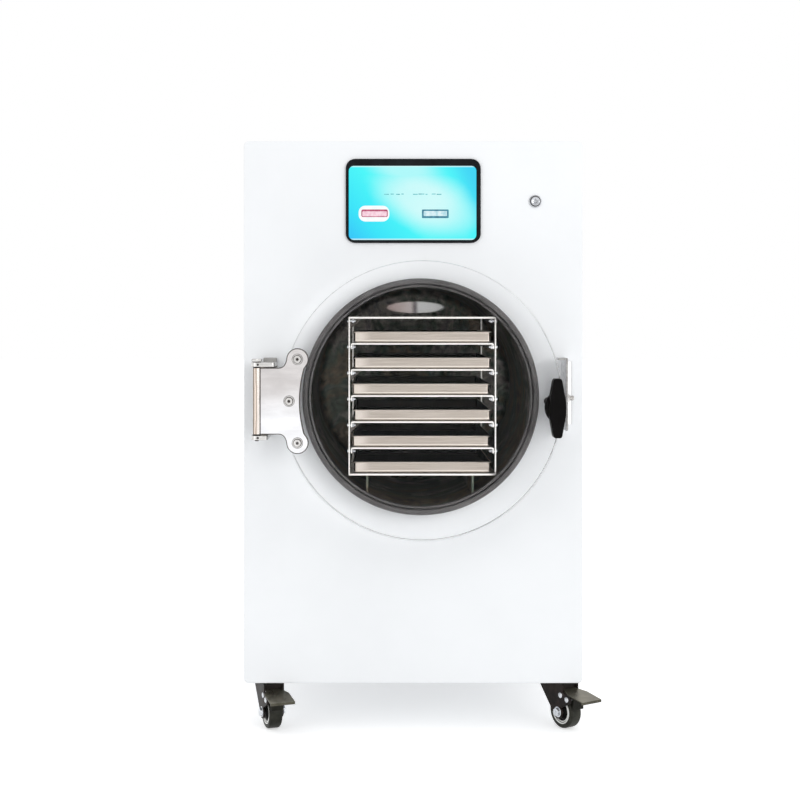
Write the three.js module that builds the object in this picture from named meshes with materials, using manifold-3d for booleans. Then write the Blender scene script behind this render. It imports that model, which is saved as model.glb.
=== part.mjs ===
// A cabinet freeze dryer: a round vacuum chamber behind a clear hinged door, a rack of heated shelves
// with trays, a refrigeration set under the chamber and four braked casters.
// Millimetres. +X right, +Y from the front into the cabinet, +Z up; origin on the floor, mid-footprint.
import * as THREE from 'three';
import { mergeVertices } from 'three/addons/utils/BufferGeometryUtils.js';
import Module from 'manifold-3d';

const wasm = await Module();
wasm.setup();

// ---------------------------------------------------------------- driving dimensions
const gap = { seat: 0.3, running: 0.09, seam: 0.6 };
// How far a cutter, or a piece that is joined on, runs past the face that it meets.
const past = 1;

const cabinet = { beside: 48, depth: 600, headroom: 26.5, sheet: 1.5, pan: 25, corner: 7, lip: 16 };

const chamber = { clear: 4.4, wall: 3, behindRack: 86, back: 6, mouth: 18, right: 10 };
const chamberPort = { bore: 12, drainBore: 5, drainWall: 2, drainDrop: 24, drainTurn: 2.25 };
const rail = { spread: 78, wall: 3, back: 20, root: 4 };
const coil = { tube: 8, turns: 6, pitch: 52, start: 66, clearance: 1.8 };
const insulation = { wall: 24, front: 34, back: 20, clear: 2 };

const gasket = { insideLip: 3, noseLip: 6, outsideLip: 4, nose: 14, cover: 13, round: 4, ease: 1.2 };
const disc = { overlap: 30, thickness: 22, chamfer: 1.2, right: 2, drop: 5 };

const hinge = { beyond: 36, pin: 3, barrel: 5.5, plate: 6, halfHeight: 48, neck: 31, edge: 0.6 };
const hingeArm = { wall: 6, width: 34, lowerWidth: 23.8, clear: 1.5, corner: 4, edge: 0.5 };
const hingeEar = { radius: 16, inside: 22.5, rise: 60, middleInside: 10.5, clear: 2, lean: 10, sweep: 30,
  above: 2, bend: 1 };
const hingeFoot = { height: 38, wall: 4 };
const hingeScrew = { shank: 3, depth: 16, head: 6, headHeight: 4, edge: 0.8, washer: 8, washerHeight: 1.2,
  socket: 2.6, socketDepth: 2.4 };
const pinHead = { radius: 8, height: 5, edge: 1, tail: 2 };

const handle = { inside: 11, drop: 9, length: 84, middle: 23, end: 12, thickness: 24, boss: 12, edge: 2.5 };
const handleWing = { tip: 1.5, tipDrop: 2, shoulder: 15.1, shoulderIn: 1, flat: 8.4 };
const handleBoss = { halfWidth: 15.5, halfHeight: 21, edge: 1.5 };
const latch = { shaft: 5, bore: 14, hub: 6.5, tongue: 9.5, tongueRadius: 6, plate: 4, behind: 10, rest: 45 };
const keeper = { wall: 3, beside: 5, depth: 52, height: 105, above: 18, corner: 6, foot: 14 };
const keeperHook = { reach: 10, front: 8, back: 14 };
const keeperBolt = { radius: 4, inside: 12.5, outside: 12, rise: 11.5, behind: 22, nut: 6.5, nutHeight: 5 };

const rack = { besideTray: 6, endRoom: 24, plate: 3, post: 3, postDepth: 18, right: 3, front: 8 };
const shelf = { count: 5, pitch: 38.2, lip: 9, lipWall: 2 };
const tray = { width: 204, depth: 296, height: 16.5, wall: 1, rim: 1.6, front: 4, corner: 5 };
const trayShifts = [0, -2, 0, -2, 0, 0];

const bezel = { width: 199, height: 124, proud: 4, corner: 14, edge: 1, aboveJacket: 28.4 };
const bezelModule = { depth: 40, inset: 7, corner: 4 };
const display = { width: 188, height: 109, glass: 1.5, recess: 1, drop: 3, left: 1, corner: 3 };
const button = { right: 180, drop: 0.5, flange: 9.2, proud: 2.2, edge: 1, barrel: 7.8, depth: 26 };
const cap = { radius: 6.6, proud: 3.4, dish: 0.8, dishEdge: 0.5, rim: 1.2, travel: 1.5 };

const base = { sheet: 3, machineRoom: 220.9, flange: 26, drainClear: 6, saddle: 320, saddleFront: 62,
  saddleRear: 340 };
const condenser = { width: 250, margin: 12, depth: 60, shroud: 22, behind: 40 };
const fin = { count: 12, depth: 14, share: 0.6, margin: 8 };
const fan = { radius: 84, hub: 22, depth: 14, blades: 7, bladeHalf: 11, bladeWall: 2, root: 3, twist: 32 };
const fanSpace = { clear: 4, spindle: 4, spindleEnd: 2, motor: 18, front: 1, behind: 3 };
const fanGrille = { bar: 5, slot: 9 };
const compressor = { radius: 76, height: 150, dome: 30, foot: 10, right: -110, forward: 150, waist: 6 };
const compressorBase = { wall: 3, sideways: 12, lengthways: 4, riser: 0.6 };
const controlBox = { width: 300, depth: 160, height: 62, forward: 215, corner: 3 };
const louvre = { count: 9, width: 300, height: 7, pitch: 20, abovePort: 42 };
const vacuumPort = { bore: 10, wall: 3, flange: 20, flangeWidth: 5, cone: 6, reach: 45 };
const inlet = { width: 50, height: 28, proud: 4, depth: 30, right: 150, rise: 60, corner: 4, edge: 0.8 };
const inletHousing = { sideways: 4, upright: 2, corner: 3 };
const inletWell = { halfWidth: 12, halfHeight: 8, depth: 16, corner: 3 };
const inletBlade = { halfWidth: 1, halfHeight: 3, spread: 7, low: -1, high: 3, set: 3 };

const caster = { inset: 33, setback: 44, plate: 54, plateWall: 2, corner: 6, race: 18, raceHeight: 1.9,
  stem: 4 };
const casterHole = { radius: 3, inset: 8, sides: 8 };
const casterRivet = { radius: 8, height: 2.2 };
const wheel = { radius: 25, width: 20, trail: 20, hub: 12, hubRecess: 2.5, hubStep: 1.5, round: 3, axle: 4,
  tread: 6, boss: 1, bossTaper: 2 };
const fork = { sheet: 2.5, beside: 2, crown: 22, aboveWheel: 15, axleBoss: 10, corner: 2, back: 9, skirt: 9 };
const cheekEdge = { front: 8, low: -4, high: 3, top: 6, topRise: 5.5, rearRise: 9, from: 200, to: 405 };
const axleHead = { radius: 7, height: 4 };
const pedal = { beyondAxle: 20, pivotDrop: 18, behind: 12, reach: 38, rootDrop: 5.5, tipDrop: 14, sheet: 1.6,
  lip: 4, lipWall: 2, join: 0.5 };
const pedalPlan = { beside: 0.6, flareOut: 6.2, flareAt: -8, flareRun: 14 };
const pedalEar = { wall: 1.4, radius: 5, edge: 1, rivet: 2.2, rivetHead: 0.8 };
const pedalShoe = { clearance: 2.5, wall: 2.5, ahead: 26.5, edge: 0.5 };
const casterTurns = { front_left: -70, front_right: -56, rear_left: 124, rear_right: 110 };

// Sides of round solids, and segments of curves in outlines.
const sideCount = { door: 64, large: 48, medium: 28, small: 20, tiny: 16, screwHole: 12, hex: 6, wheel: 24 };
const segmentCount = { coil: 24, coilSection: 3, corner: 2, plain: 4, boss: 9 };

// ---------------------------------------------------------------- derived places
const forkHead = 2 * wheel.radius + fork.aboveWheel;
const forkTop = forkHead + fork.sheet;
const forkInside = wheel.width / 2 + wheel.boss + fork.beside;
const casterPlateTop = forkTop + gap.seat + caster.raceHeight + caster.plateWall;
const bottomZ = casterPlateTop + gap.seat;

const rackWidth = tray.width + 2 * rack.besideTray;
const rackDepth = tray.depth + rack.endRoom;
const rackHeight = rack.plate + (shelf.count + 1) * shelf.pitch;

const chamberRadius = Math.hypot(rackWidth / 2 + rack.right, rackHeight / 2) + chamber.clear;
const chamberDepth = rack.front + rackDepth + chamber.behindRack + chamber.back;
const drumOuter = chamberRadius + chamber.wall;
const jacketInner = drumOuter + coil.tube + 2 * coil.clearance;
const jacketOuter = jacketInner + insulation.wall;
const discRadius = drumOuter + gasket.outsideLip + disc.overlap;
const cabinetWidth = 2 * (discRadius + cabinet.beside);

const gasketFront = chamber.mouth + gasket.nose;
const frontReach = gasketFront + 2 * gap.seat + disc.thickness + handle.boss + handle.thickness;
const frontY = (frontReach - cabinet.depth - vacuumPort.reach) / 2;
const backY = frontY + cabinet.depth;
const mouthY = frontY - chamber.mouth;
const drumBackY = mouthY + chamberDepth;

const chamberX = chamber.right;
const chamberZ = bottomZ + base.machineRoom + jacketOuter;
const screenZ = chamberZ + jacketOuter + bezel.aboveJacket + bezel.height / 2 - bezelModule.inset;
const topZ = screenZ + bezel.height / 2 + cabinet.headroom;

const discX = chamberX + disc.right;
const discZ = chamberZ - disc.drop;
const discRearY = frontY - gasketFront - gap.seat;
const discFrontY = discRearY - disc.thickness;

const pinX = discX - discRadius - hinge.beyond;
const hingePlateY = discFrontY - gap.seat;
const pinY = hingePlateY - hinge.plate / 2;
const armZ = hinge.halfHeight + hingeArm.clear;

const handleX = discX + discRadius - handle.inside;
const handleZ = discZ - handle.drop;
const handleRearY = discFrontY - gap.seat;
const bladeRearY = handleRearY - handle.boss;

const baseTopZ = bottomZ + gap.seat + base.sheet;
const condenserHeight = 2 * (fan.radius + fanSpace.clear + condenser.margin);
const fanZ = baseTopZ + gap.seat + condenserHeight / 2;
const inletZ = bottomZ + inlet.rise;

const rackX = chamberX + rack.right;
const rackFrontY = mouthY + rack.front;
const rackBottomZ = chamberZ - rackHeight / 2;

const casterX = cabinetWidth / 2 - caster.inset;
const pedalX = wheel.trail + pedal.beyondAxle;
const pedalZ = forkHead - pedal.pivotDrop;
const pedalRootHalf = forkInside - pedalPlan.beside;

// ---------------------------------------------------------------- materials
const finish = (color, roughness, metalness) => (
  new THREE.MeshStandardMaterial({ color, roughness, metalness }));
const paint = finish(0xf6f8fa, 0.35, 0);
const stainless = finish(0xb9b5ae, 0.35, 1);
const polished = finish(0xd8d6d4, 0.15, 1);
const zinc = finish(0xc9ccd0, 0.3, 1);
const darkSteel = finish(0x2b2724, 0.4, 0.7);
const blackPlastic = finish(0x171616, 0.45, 0);
const rubber = finish(0x3b3a3c, 0.8, 0);
const copper = finish(0xb36a3c, 0.3, 1);
const foam = finish(0xd9cfae, 0.95, 0);
const glow = finish(0x35dff5, 0.1, 0);
const acrylic = new THREE.MeshStandardMaterial({ color: 0xe6eef0, transparent: true, opacity: 0.25 });

// ---------------------------------------------------------------- solids
// Every piece is a closed solid made from three.js geometry, then joined or cut.
function solid(geometry) {
  const plain = geometry.index ? geometry.toNonIndexed() : geometry.clone();
  plain.deleteAttribute('normal');
  plain.deleteAttribute('uv');
  const merged = mergeVertices(plain, 1e-4);
  const index = merged.index.array;
  const kept = [];
  for (let i = 0; i < index.length; i += 3) {
    const [a, b, c] = [index[i], index[i + 1], index[i + 2]];
    if (a !== b && b !== c && c !== a) kept.push(a, b, c);
  }
  if (signedVolume(merged.attributes.position, kept) < 0) kept.reverse();
  return new wasm.Manifold(new wasm.Mesh({
    numProp: 3,
    vertProperties: new Float32Array(merged.attributes.position.array),
    triVerts: new Uint32Array(kept),
  }));
}

function signedVolume(position, index) {
  const [a, b, c] = [new THREE.Vector3(), new THREE.Vector3(), new THREE.Vector3()];
  let sum = 0;
  for (let i = 0; i < index.length; i += 3) {
    a.fromBufferAttribute(position, index[i]);
    b.fromBufferAttribute(position, index[i + 1]);
    c.fromBufferAttribute(position, index[i + 2]);
    sum += a.dot(b.cross(c));
  }
  return sum / 6;
}

function mesh(name, body, material) {
  const { vertProperties, triVerts } = body.getMesh();
  const geometry = new THREE.BufferGeometry();
  geometry.setAttribute('position', new THREE.BufferAttribute(vertProperties, 3));
  geometry.setIndex(new THREE.BufferAttribute(triVerts, 1));
  geometry.computeVertexNormals();
  const made = new THREE.Mesh(geometry, material);
  made.name = name;
  return made;
}

// A box from its low corner to its high corner.
function block(low, high) {
  const size = high.map((value, i) => value - low[i]);
  const middle = high.map((value, i) => (value + low[i]) / 2);
  return solid(new THREE.BoxGeometry(...size).translate(...middle));
}

const axisTurn = {
  x: (geometry) => geometry.rotateZ(-Math.PI / 2),
  y: (geometry) => geometry,
  z: (geometry) => geometry.rotateX(Math.PI / 2),
};

// A round bar along an axis, from one place on it to another.
function bar(axis, radius, from, to, centre, count = sideCount.small) {
  const geometry = new THREE.CylinderGeometry(radius, radius, to - from, count);
  geometry.translate(0, (to + from) / 2, 0);
  return solid(axisTurn[axis](geometry).translate(...centre));
}

// A profile of [radius, place along the axis] points, turned about that axis.
function turned(axis, profile, centre, count) {
  const points = profile.map(([r, along]) => new THREE.Vector2(r, along));
  const first = points[0];
  if (first.x > 0) points.push(first.clone());
  return solid(axisTurn[axis](new THREE.LatheGeometry(points, count)).translate(...centre));
}

// An outline in X and Z, with its back face at y and its thickness towards the front.
function facing(shape, y, thickness, bevel = 0, detail = segmentCount.corner) {
  const geometry = extruded(shape, thickness, bevel, detail);
  return solid(geometry.rotateX(Math.PI / 2).translate(0, y, 0));
}

// An outline in X and Y, standing up from z.
function upright(shape, z, height, bevel = 0, detail = segmentCount.corner) {
  return solid(extruded(shape, height, bevel, detail).translate(0, 0, z));
}

// An outline in Y and Z (as its own x and y), running from x towards +X.
function sideways(shape, x, width) {
  const turn = new THREE.Matrix4().makeBasis(
    new THREE.Vector3(0, 1, 0), new THREE.Vector3(0, 0, 1), new THREE.Vector3(1, 0, 0));
  return solid(extruded(shape, width, 0, segmentCount.corner).applyMatrix4(turn).translate(x, 0, 0));
}

function extruded(shape, depth, bevel, detail) {
  const geometry = new THREE.ExtrudeGeometry(shape, {
    depth: depth - 2 * bevel, curveSegments: detail, steps: 1, bevelEnabled: bevel > 0,
    bevelSize: bevel, bevelOffset: -bevel, bevelThickness: bevel, bevelSegments: 1,
  });
  return geometry.translate(0, 0, bevel);
}

function roundedRectangle(x0, y0, x1, y1, radius) {
  const shape = new THREE.Shape();
  shape.moveTo(x0 + radius, y0);
  shape.lineTo(x1 - radius, y0);
  shape.absarc(x1 - radius, y0 + radius, radius, -Math.PI / 2, 0);
  shape.lineTo(x1, y1 - radius);
  shape.absarc(x1 - radius, y1 - radius, radius, 0, Math.PI / 2);
  shape.lineTo(x0 + radius, y1);
  shape.absarc(x0 + radius, y1 - radius, radius, Math.PI / 2, Math.PI);
  shape.lineTo(x0, y0 + radius);
  shape.absarc(x0 + radius, y0 + radius, radius, Math.PI, 1.5 * Math.PI);
  return shape;
}

function outline(points) {
  return new THREE.Shape(points.map(([x, y]) => new THREE.Vector2(x, y)));
}

const radians = THREE.MathUtils.degToRad;

// ---------------------------------------------------------------- cabinet
// A shallow folded pan closes the front, and a deeper one with the same lips closes the back.
function pan(outerY, innerY) {
  const half = cabinetWidth / 2;
  const low = Math.min(outerY, innerY);
  const high = Math.max(outerY, innerY);
  const skin = outerY < innerY ? cabinet.sheet : -cabinet.sheet;
  const inner = cabinet.corner - cabinet.sheet;
  const outside = roundedRectangle(-half, bottomZ, half, topZ, cabinet.corner);
  const inside = roundedRectangle(-half + cabinet.sheet, bottomZ + cabinet.sheet,
    half - cabinet.sheet, topZ - cabinet.sheet, inner);
  const hollow = facing(inside, high + (skin < 0 ? skin : past), high - low + past - Math.abs(skin));
  return facing(outside, high, high - low).subtract(hollow);
}

function frontPanel() {
  const chamberHole = bar('y', drumOuter + gap.seam, frontY - past, frontY + cabinet.pan,
    [chamberX, 0, chamberZ], sideCount.large);
  const moduleHole = facing(moduleOutline(gap.seam), frontY + cabinet.pan, cabinet.pan + past);
  const buttonHole = bar('y', button.barrel + gap.seat, frontY - past, frontY + cabinet.pan,
    buttonCentre(), sideCount.small);
  return pan(frontY, frontY + cabinet.pan).subtract(chamberHole)
    .subtract(moduleHole).subtract(buttonHole);
}

// The air slots, the pump port and the mains inlet all pass through the back.
function rearPanel() {
  const inner = backY - cabinet.sheet - past;
  const outer = backY + past;
  let panel = pan(backY, backY - cabinet.pan);
  for (let i = 0; i < louvre.count; i += 1) {
    const z = chamberZ + louvre.abovePort + i * louvre.pitch;
    panel = panel.subtract(block([-louvre.width / 2, inner, z],
      [louvre.width / 2, outer, z + louvre.height]));
  }
  for (const [rise, half] of grilleSlots()) {
    panel = panel.subtract(block([-half, inner, fanZ + rise - fanGrille.slot / 2],
      [half, outer, fanZ + rise + fanGrille.slot / 2]));
  }
  const portHole = bar('y', vacuumPort.bore + vacuumPort.wall + gap.seat, inner, outer,
    [chamberX, 0, chamberZ], sideCount.small);
  return panel.subtract(portHole).subtract(facing(inletOutline(-gap.seat), outer, outer - inner));
}

// Slots that fill a round field before the fan: how high each lies, and half its length.
function grilleSlots() {
  const pitch = fanGrille.slot + fanGrille.bar;
  const rows = Math.floor((fan.radius - fanGrille.slot / 2) / pitch);
  const slots = [];
  for (let row = -rows; row <= rows; row += 1) {
    const edge = Math.abs(row * pitch) + fanGrille.slot / 2;
    slots.push([row * pitch, Math.sqrt(fan.radius ** 2 - edge ** 2)]);
  }
  return slots;
}

// A side sheet runs between the two pans, with lips turned in at its top and bottom.
function sidePanel(side) {
  const outer = side * cabinetWidth / 2;
  const inner = outer - side * cabinet.sheet;
  const lip = outer - side * cabinet.lip;
  const y0 = frontY + cabinet.pan + gap.seam;
  const y1 = backY - cabinet.pan - gap.seam;
  const z0 = bottomZ;
  const z1 = topZ - cabinet.sheet - gap.seat;
  const profile = outline([[outer, z0], [lip, z0], [lip, z0 + cabinet.sheet], [inner, z0 + cabinet.sheet],
    [inner, z1 - cabinet.sheet], [lip, z1 - cabinet.sheet], [lip, z1], [outer, z1]]);
  return facing(profile, y1, y1 - y0);
}

function topPanel() {
  const half = cabinetWidth / 2;
  const y0 = frontY + cabinet.pan + gap.seam;
  const y1 = backY - cabinet.pan - gap.seam;
  return block([-half, y0, topZ - cabinet.sheet], [half, y1, topZ]);
}

// A folded tray of thick sheet ties the sides together, carries the casters and holds two saddles.
function baseFrame() {
  const half = cabinetWidth / 2 - cabinet.lip - gap.seam;
  const y0 = frontY + cabinet.pan + gap.seam;
  const y1 = backY - cabinet.pan - gap.seam;
  const bottom = bottomZ + gap.seat;
  const body = block([-half, y0, bottom], [half, y1, bottom + base.flange]);
  const hollow = block([-half + base.sheet, y0 + base.sheet, bottom + base.sheet],
    [half - base.sheet, y1 - base.sheet, bottom + base.flange + past]);
  const drainHole = bar('z', drainOuter() + base.drainClear, bottom - past, bottom + base.sheet + past,
    [chamberX, drainY(), 0], sideCount.small);
  return body.subtract(hollow).subtract(drainHole).add(saddle(frontY + base.saddleFront))
    .add(saddle(frontY + base.saddleRear));
}

// An upright plate, hollowed at its top, that carries the jacketed chamber.
function saddle(y) {
  const low = bottomZ + gap.seat + base.sheet / 2;
  const bed = jacketOuter + gap.seat;
  const half = base.saddle / 2;
  const high = chamberZ - Math.sqrt(bed ** 2 - half ** 2);
  const plate = block([-half, y, low], [half, y + base.sheet, high]);
  return plate.subtract(bar('y', bed, y - past, y + base.sheet + past, [chamberX, 0, chamberZ],
    sideCount.medium));
}

// ---------------------------------------------------------------- chamber
function drainOuter() {
  return chamberPort.drainBore + chamberPort.drainWall;
}

// The spigot leaves the drum between two turns of the winding.
function drainY() {
  return mouthY + coil.start + chamberPort.drainTurn * coil.pitch;
}

// A drum with a thick back, two rails for the rack, a drain spigot and a hole for the pump port.
function vacuumChamber() {
  const centre = [chamberX, 0, chamberZ];
  const floorY = drumBackY - chamber.back;
  const shell = turned('y', [[0, drumBackY], [drumOuter, drumBackY], [drumOuter, mouthY],
    [chamberRadius, mouthY], [chamberRadius, floorY], [0, floorY]], centre, sideCount.large);
  const spigotLow = -drumOuter - chamberPort.drainDrop;
  const drain = [chamberX, drainY(), chamberZ];
  const spigot = bar('z', drainOuter(), spigotLow, -chamberRadius - chamber.wall / 2, drain);
  const spigotBore = bar('z', chamberPort.drainBore, spigotLow - past, -chamberRadius + past, drain);
  const portHole = bar('y', chamberPort.bore, floorY - past, drumBackY + past, centre);
  let drum = shell.add(spigot);
  for (const side of [-1, 1]) {
    drum = drum.add(rackRail(side));
  }
  return drum.subtract(spigotBore).subtract(portHole);
}

function rackRail(side) {
  const x = chamberX + side * rail.spread;
  const wallDrop = Math.sqrt(chamberRadius ** 2 - (rail.spread + rail.wall) ** 2);
  const top = rackBottomZ - gap.seat;
  return block([x - rail.wall / 2, rackFrontY + rail.back, chamberZ - wallDrop - rail.root],
    [x + rail.wall / 2, drumBackY - chamber.back + past, top]);
}

// The evaporator is copper tube wound on the drum, under the foam.
class Winding extends THREE.Curve {
  getPoint(t, target = new THREE.Vector3()) {
    const angle = t * coil.turns * 2 * Math.PI;
    const radius = drumOuter + coil.clearance + coil.tube / 2;
    const y = mouthY + coil.start + t * coil.turns * coil.pitch;
    return target.set(chamberX + radius * Math.cos(angle), y, chamberZ + radius * Math.sin(angle));
  }
}

function evaporatorCoil() {
  const section = new THREE.Shape();
  section.absarc(0, 0, coil.tube / 2, 0, 2 * Math.PI);
  return solid(new THREE.ExtrudeGeometry(section, {
    steps: coil.turns * segmentCount.coil, curveSegments: segmentCount.coilSection, bevelEnabled: false,
    extrudePath: new Winding(),
  }));
}

function chamberInsulation() {
  const [inner, outer] = [jacketInner, jacketOuter];
  const back = drumBackY + gap.seat;
  const front = frontY + insulation.front;
  const portClear = vacuumPort.bore + vacuumPort.wall + insulation.clear;
  const jacket = turned('y', [[portClear, back], [inner, back], [inner, front], [outer, front],
    [outer, back + insulation.back], [portClear, back + insulation.back]],
  [chamberX, 0, chamberZ], sideCount.medium);
  const drainClear = bar('z', drainOuter() + insulation.clear, -outer - past, -inner + insulation.wall,
    [chamberX, drainY(), chamberZ]);
  return jacket.subtract(drainClear);
}

// A soft ring with a groove at its back that grips the drum's edge.
function doorGasket() {
  const inner = chamberRadius - gasket.insideLip;
  const lip = chamberRadius - gasket.noseLip;
  const outer = drumOuter + gasket.outsideLip;
  const front = mouthY - gasket.nose;
  const grooveFloor = mouthY - gap.seat;
  const rear = mouthY + gasket.cover;
  const ease = gasket.ease;
  const profile = [
    [lip + ease, front + ease], [lip + gasket.round, front], [outer - gasket.round, front],
    [outer - ease, front + ease], [outer, front + gasket.round], [outer, rear],
    [drumOuter + gap.seat, rear], [drumOuter + gap.seat, grooveFloor],
    [chamberRadius - gap.seat, grooveFloor], [chamberRadius - gap.seat, rear],
    [inner, rear], [inner, mouthY], [lip, grooveFloor - gasket.round], [lip, front + gasket.round],
  ];
  return turned('y', profile, [chamberX, 0, chamberZ], sideCount.large);
}

// ---------------------------------------------------------------- door and hinge
function doorDisc() {
  const r = discRadius;
  const c = disc.chamfer;
  const blank = turned('y', [[0, discFrontY], [r - c, discFrontY], [r, discFrontY + c],
    [r, discRearY - c], [r - c, discRearY], [0, discRearY]], [discX, 0, discZ], sideCount.door);
  let body = blank.subtract(bar('y', latch.shaft + gap.running, discFrontY - past, discRearY + past,
    [handleX, 0, handleZ], sideCount.small));
  for (const [x, z] of screwPlaces()) {
    body = body.subtract(bar('y', hingeScrew.shank + gap.seat, discFrontY - past,
      hingePlateY - hinge.plate + hingeScrew.depth + gap.seat, [x, 0, z], sideCount.screwHole));
  }
  return body;
}

function earX() {
  return discX - discRadius + hingeEar.inside;
}

function screwPlaces() {
  return [
    [earX(), discZ + hingeEar.rise],
    [discX - discRadius + hingeEar.middleInside, discZ],
    [earX(), discZ - hingeEar.rise],
  ];
}

// The plate is narrow at its barrel, flares into two ears and curves round the gasket.
function hingePlateOutline() {
  const earRise = hingeEar.rise;
  const r = hingeEar.radius;
  const hollow = drumOuter + gasket.outsideLip + hingeEar.clear;
  const lean = Math.asin((earRise - r + hingeEar.above) / hollow);
  const side = radians(hingeEar.lean);
  const sweep = radians(hingeEar.sweep);
  const bendX = earX() - r - hingeEar.bend;
  const neckX = pinX + hinge.neck;
  const shape = new THREE.Shape();
  shape.moveTo(pinX, -hinge.halfHeight);
  shape.lineTo(neckX, -hinge.halfHeight);
  shape.quadraticCurveTo(bendX, -hinge.halfHeight, earX() - r * Math.cos(side),
    -earRise - r * Math.sin(side));
  shape.absarc(earX(), -earRise, r, Math.PI + side, 2 * Math.PI + sweep);
  shape.absarc(chamberX, 0, hollow, Math.PI + lean, Math.PI - lean, true);
  shape.absarc(earX(), earRise, r, -sweep, Math.PI - side);
  shape.quadraticCurveTo(bendX, hinge.halfHeight, neckX, hinge.halfHeight);
  shape.lineTo(pinX, hinge.halfHeight);
  return shape;
}

function hingePlate() {
  const [low, high] = [discZ - hinge.halfHeight, discZ + hinge.halfHeight];
  const barrel = bar('z', hinge.barrel, low, high, [pinX, pinY, 0]);
  const bore = bar('z', hinge.pin + gap.running, low - past, high + past, [pinX, pinY, 0]);
  const plate = facing(hingePlateOutline(), hingePlateY, hinge.plate, hinge.edge, segmentCount.plain);
  let body = plate.translate([0, 0, discZ]).add(barrel).subtract(bore);
  for (const [x, z] of screwPlaces()) {
    body = body.subtract(bar('y', hingeScrew.shank + gap.seat, hingePlateY - hinge.plate - past,
      hingePlateY + past, [x, 0, z], sideCount.screwHole));
  }
  return body;
}

// A socket-head screw with its washer, pointing into the door.
function hingeScrewAt(x, z) {
  const face = hingePlateY - hinge.plate - gap.seat;
  const { shank, depth, head, headHeight, edge, washer, washerHeight, socket, socketDepth } = hingeScrew;
  const top = face - washerHeight - headHeight;
  const body = turned('y', [[0, top], [head - edge, top], [head, top + edge], [head, face - washerHeight],
    [washer, face - washerHeight], [washer, face], [shank, face], [shank, face + depth],
    [0, face + depth]], [x, 0, z], sideCount.tiny);
  return body.subtract(bar('y', socket, top - past, top + socketDepth, [x, 0, z], sideCount.hex));
}

// An arm carries one end of the pin; its foot lies on the front panel behind the plate.
function hingeBracket(side, width) {
  const centreZ = discZ + side * (armZ + hingeArm.wall / 2);
  const low = pinX - pinHead.radius;
  const far = low + width;
  const toe = pinY - pinHead.radius;
  const back = frontY - gap.seat;
  const arm = new THREE.Shape();
  arm.moveTo(low, back);
  arm.lineTo(low, pinY);
  arm.absarc(pinX, pinY, pinHead.radius, Math.PI, 1.5 * Math.PI);
  arm.lineTo(far - hingeArm.corner, toe);
  arm.lineTo(far, toe + hingeArm.corner);
  arm.lineTo(far, back);
  const armBody = upright(arm, centreZ - hingeArm.wall / 2, hingeArm.wall, hingeArm.edge, segmentCount.plain);
  const footEnds = [discZ + side * (armZ - hingeFoot.height), centreZ];
  const foot = block([low, back - hingeFoot.wall, Math.min(...footEnds)], [far, back, Math.max(...footEnds)]);
  const hole = bar('z', hinge.pin + gap.seat, centreZ - hingeArm.wall, centreZ + hingeArm.wall,
    [pinX, pinY, 0]);
  return armBody.add(foot).subtract(hole);
}

function hingePin() {
  const seat = discZ + armZ + hingeArm.wall + gap.seat;
  const { radius, height, edge, tail } = pinHead;
  const shank = bar('z', hinge.pin, discZ - armZ - hingeArm.wall - tail, seat + past, [pinX, pinY, 0]);
  const head = turned('z', [[0, seat], [radius, seat], [radius, seat + height - edge],
    [radius - edge, seat + height], [0, seat + height]], [pinX, pinY, 0], sideCount.hex);
  return shank.add(head);
}

// ---------------------------------------------------------------- latch
// The handle is a tapered wing on an oval boss, with a blind bore for its shaft.
function doorHandle() {
  const half = handle.length / 2;
  const [mid, end] = [handle.middle / 2, handle.end / 2];
  const { tip, tipDrop, shoulder, shoulderIn, flat } = handleWing;
  const quarter = [[mid, flat], [mid - shoulderIn, shoulder], [end, half - tipDrop], [end - tip, half]];
  const turnedOver = quarter.map(([x, z]) => [-x, z]).reverse();
  const upper = [...quarter, ...turnedOver];
  const wing = outline([...upper, ...upper.map(([x, z]) => [-x, -z])]);
  const oval = new THREE.Shape();
  oval.absellipse(0, 0, handleBoss.halfWidth, handleBoss.halfHeight, 0, 2 * Math.PI);
  const blade = facing(wing, bladeRearY + past, handle.thickness + past, handle.edge);
  const boss = facing(oval, handleRearY, handle.boss, handleBoss.edge, segmentCount.boss);
  const bore = bar('y', latch.shaft + gap.seat, handleRearY - latch.bore - gap.seat, handleRearY + past,
    [0, 0, 0]);
  return blade.add(boss).subtract(bore).translate([handleX, 0, handleZ]);
}

// The shaft crosses the door, and its tongue turns behind the keeper's bolt.
function latchCam() {
  const rear = frontY - latch.behind;
  const shaft = bar('y', latch.shaft, handleRearY - latch.bore, rear, [0, 0, 0]);
  const hub = bar('y', latch.hub, rear - latch.plate, rear, [0, 0, 0]);
  const tip = latch.tongue;
  const r = latch.tongueRadius;
  const tongue = new THREE.Shape();
  tongue.absarc(0, 0, r, Math.PI, 2 * Math.PI);
  tongue.absarc(0, tip, r, 0, Math.PI);
  const flag = facing(tongue, rear, latch.plate, 0, segmentCount.plain).rotate([0, -latch.rest, 0]);
  return shaft.add(hub).add(flag).translate([handleX, 0, handleZ]);
}

function keeperX() {
  return discX + discRadius + keeper.beside;
}

// A folded strap beside the door's rim, with its foot on the front panel and a small hook at its top.
function keeperBracket() {
  const x = keeperX();
  const back = frontY - gap.seat;
  const high = handleZ + keeper.height / 2 + keeper.above;
  const low = high - keeper.height;
  const side = roundedRectangle(back - keeper.depth, low, back, high, keeper.corner);
  const strap = sideways(side, x, keeper.wall);
  const foot = block([x, back - keeper.wall, low + keeper.corner],
    [x + keeper.foot, back, high - keeper.corner]);
  const hook = block([x - keeperHook.reach, back - keeper.depth + keeperHook.front, high - keeper.wall],
    [x + keeper.wall, back - keeperHook.back, high]);
  const hole = bar('x', keeperBolt.radius + gap.seat, x - past, x + keeper.wall + past, keeperBoltCentre());
  return strap.add(foot).add(hook).subtract(hole);
}

function keeperBoltCentre() {
  return [0, frontY - keeperBolt.behind, handleZ + keeperBolt.rise];
}

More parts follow.
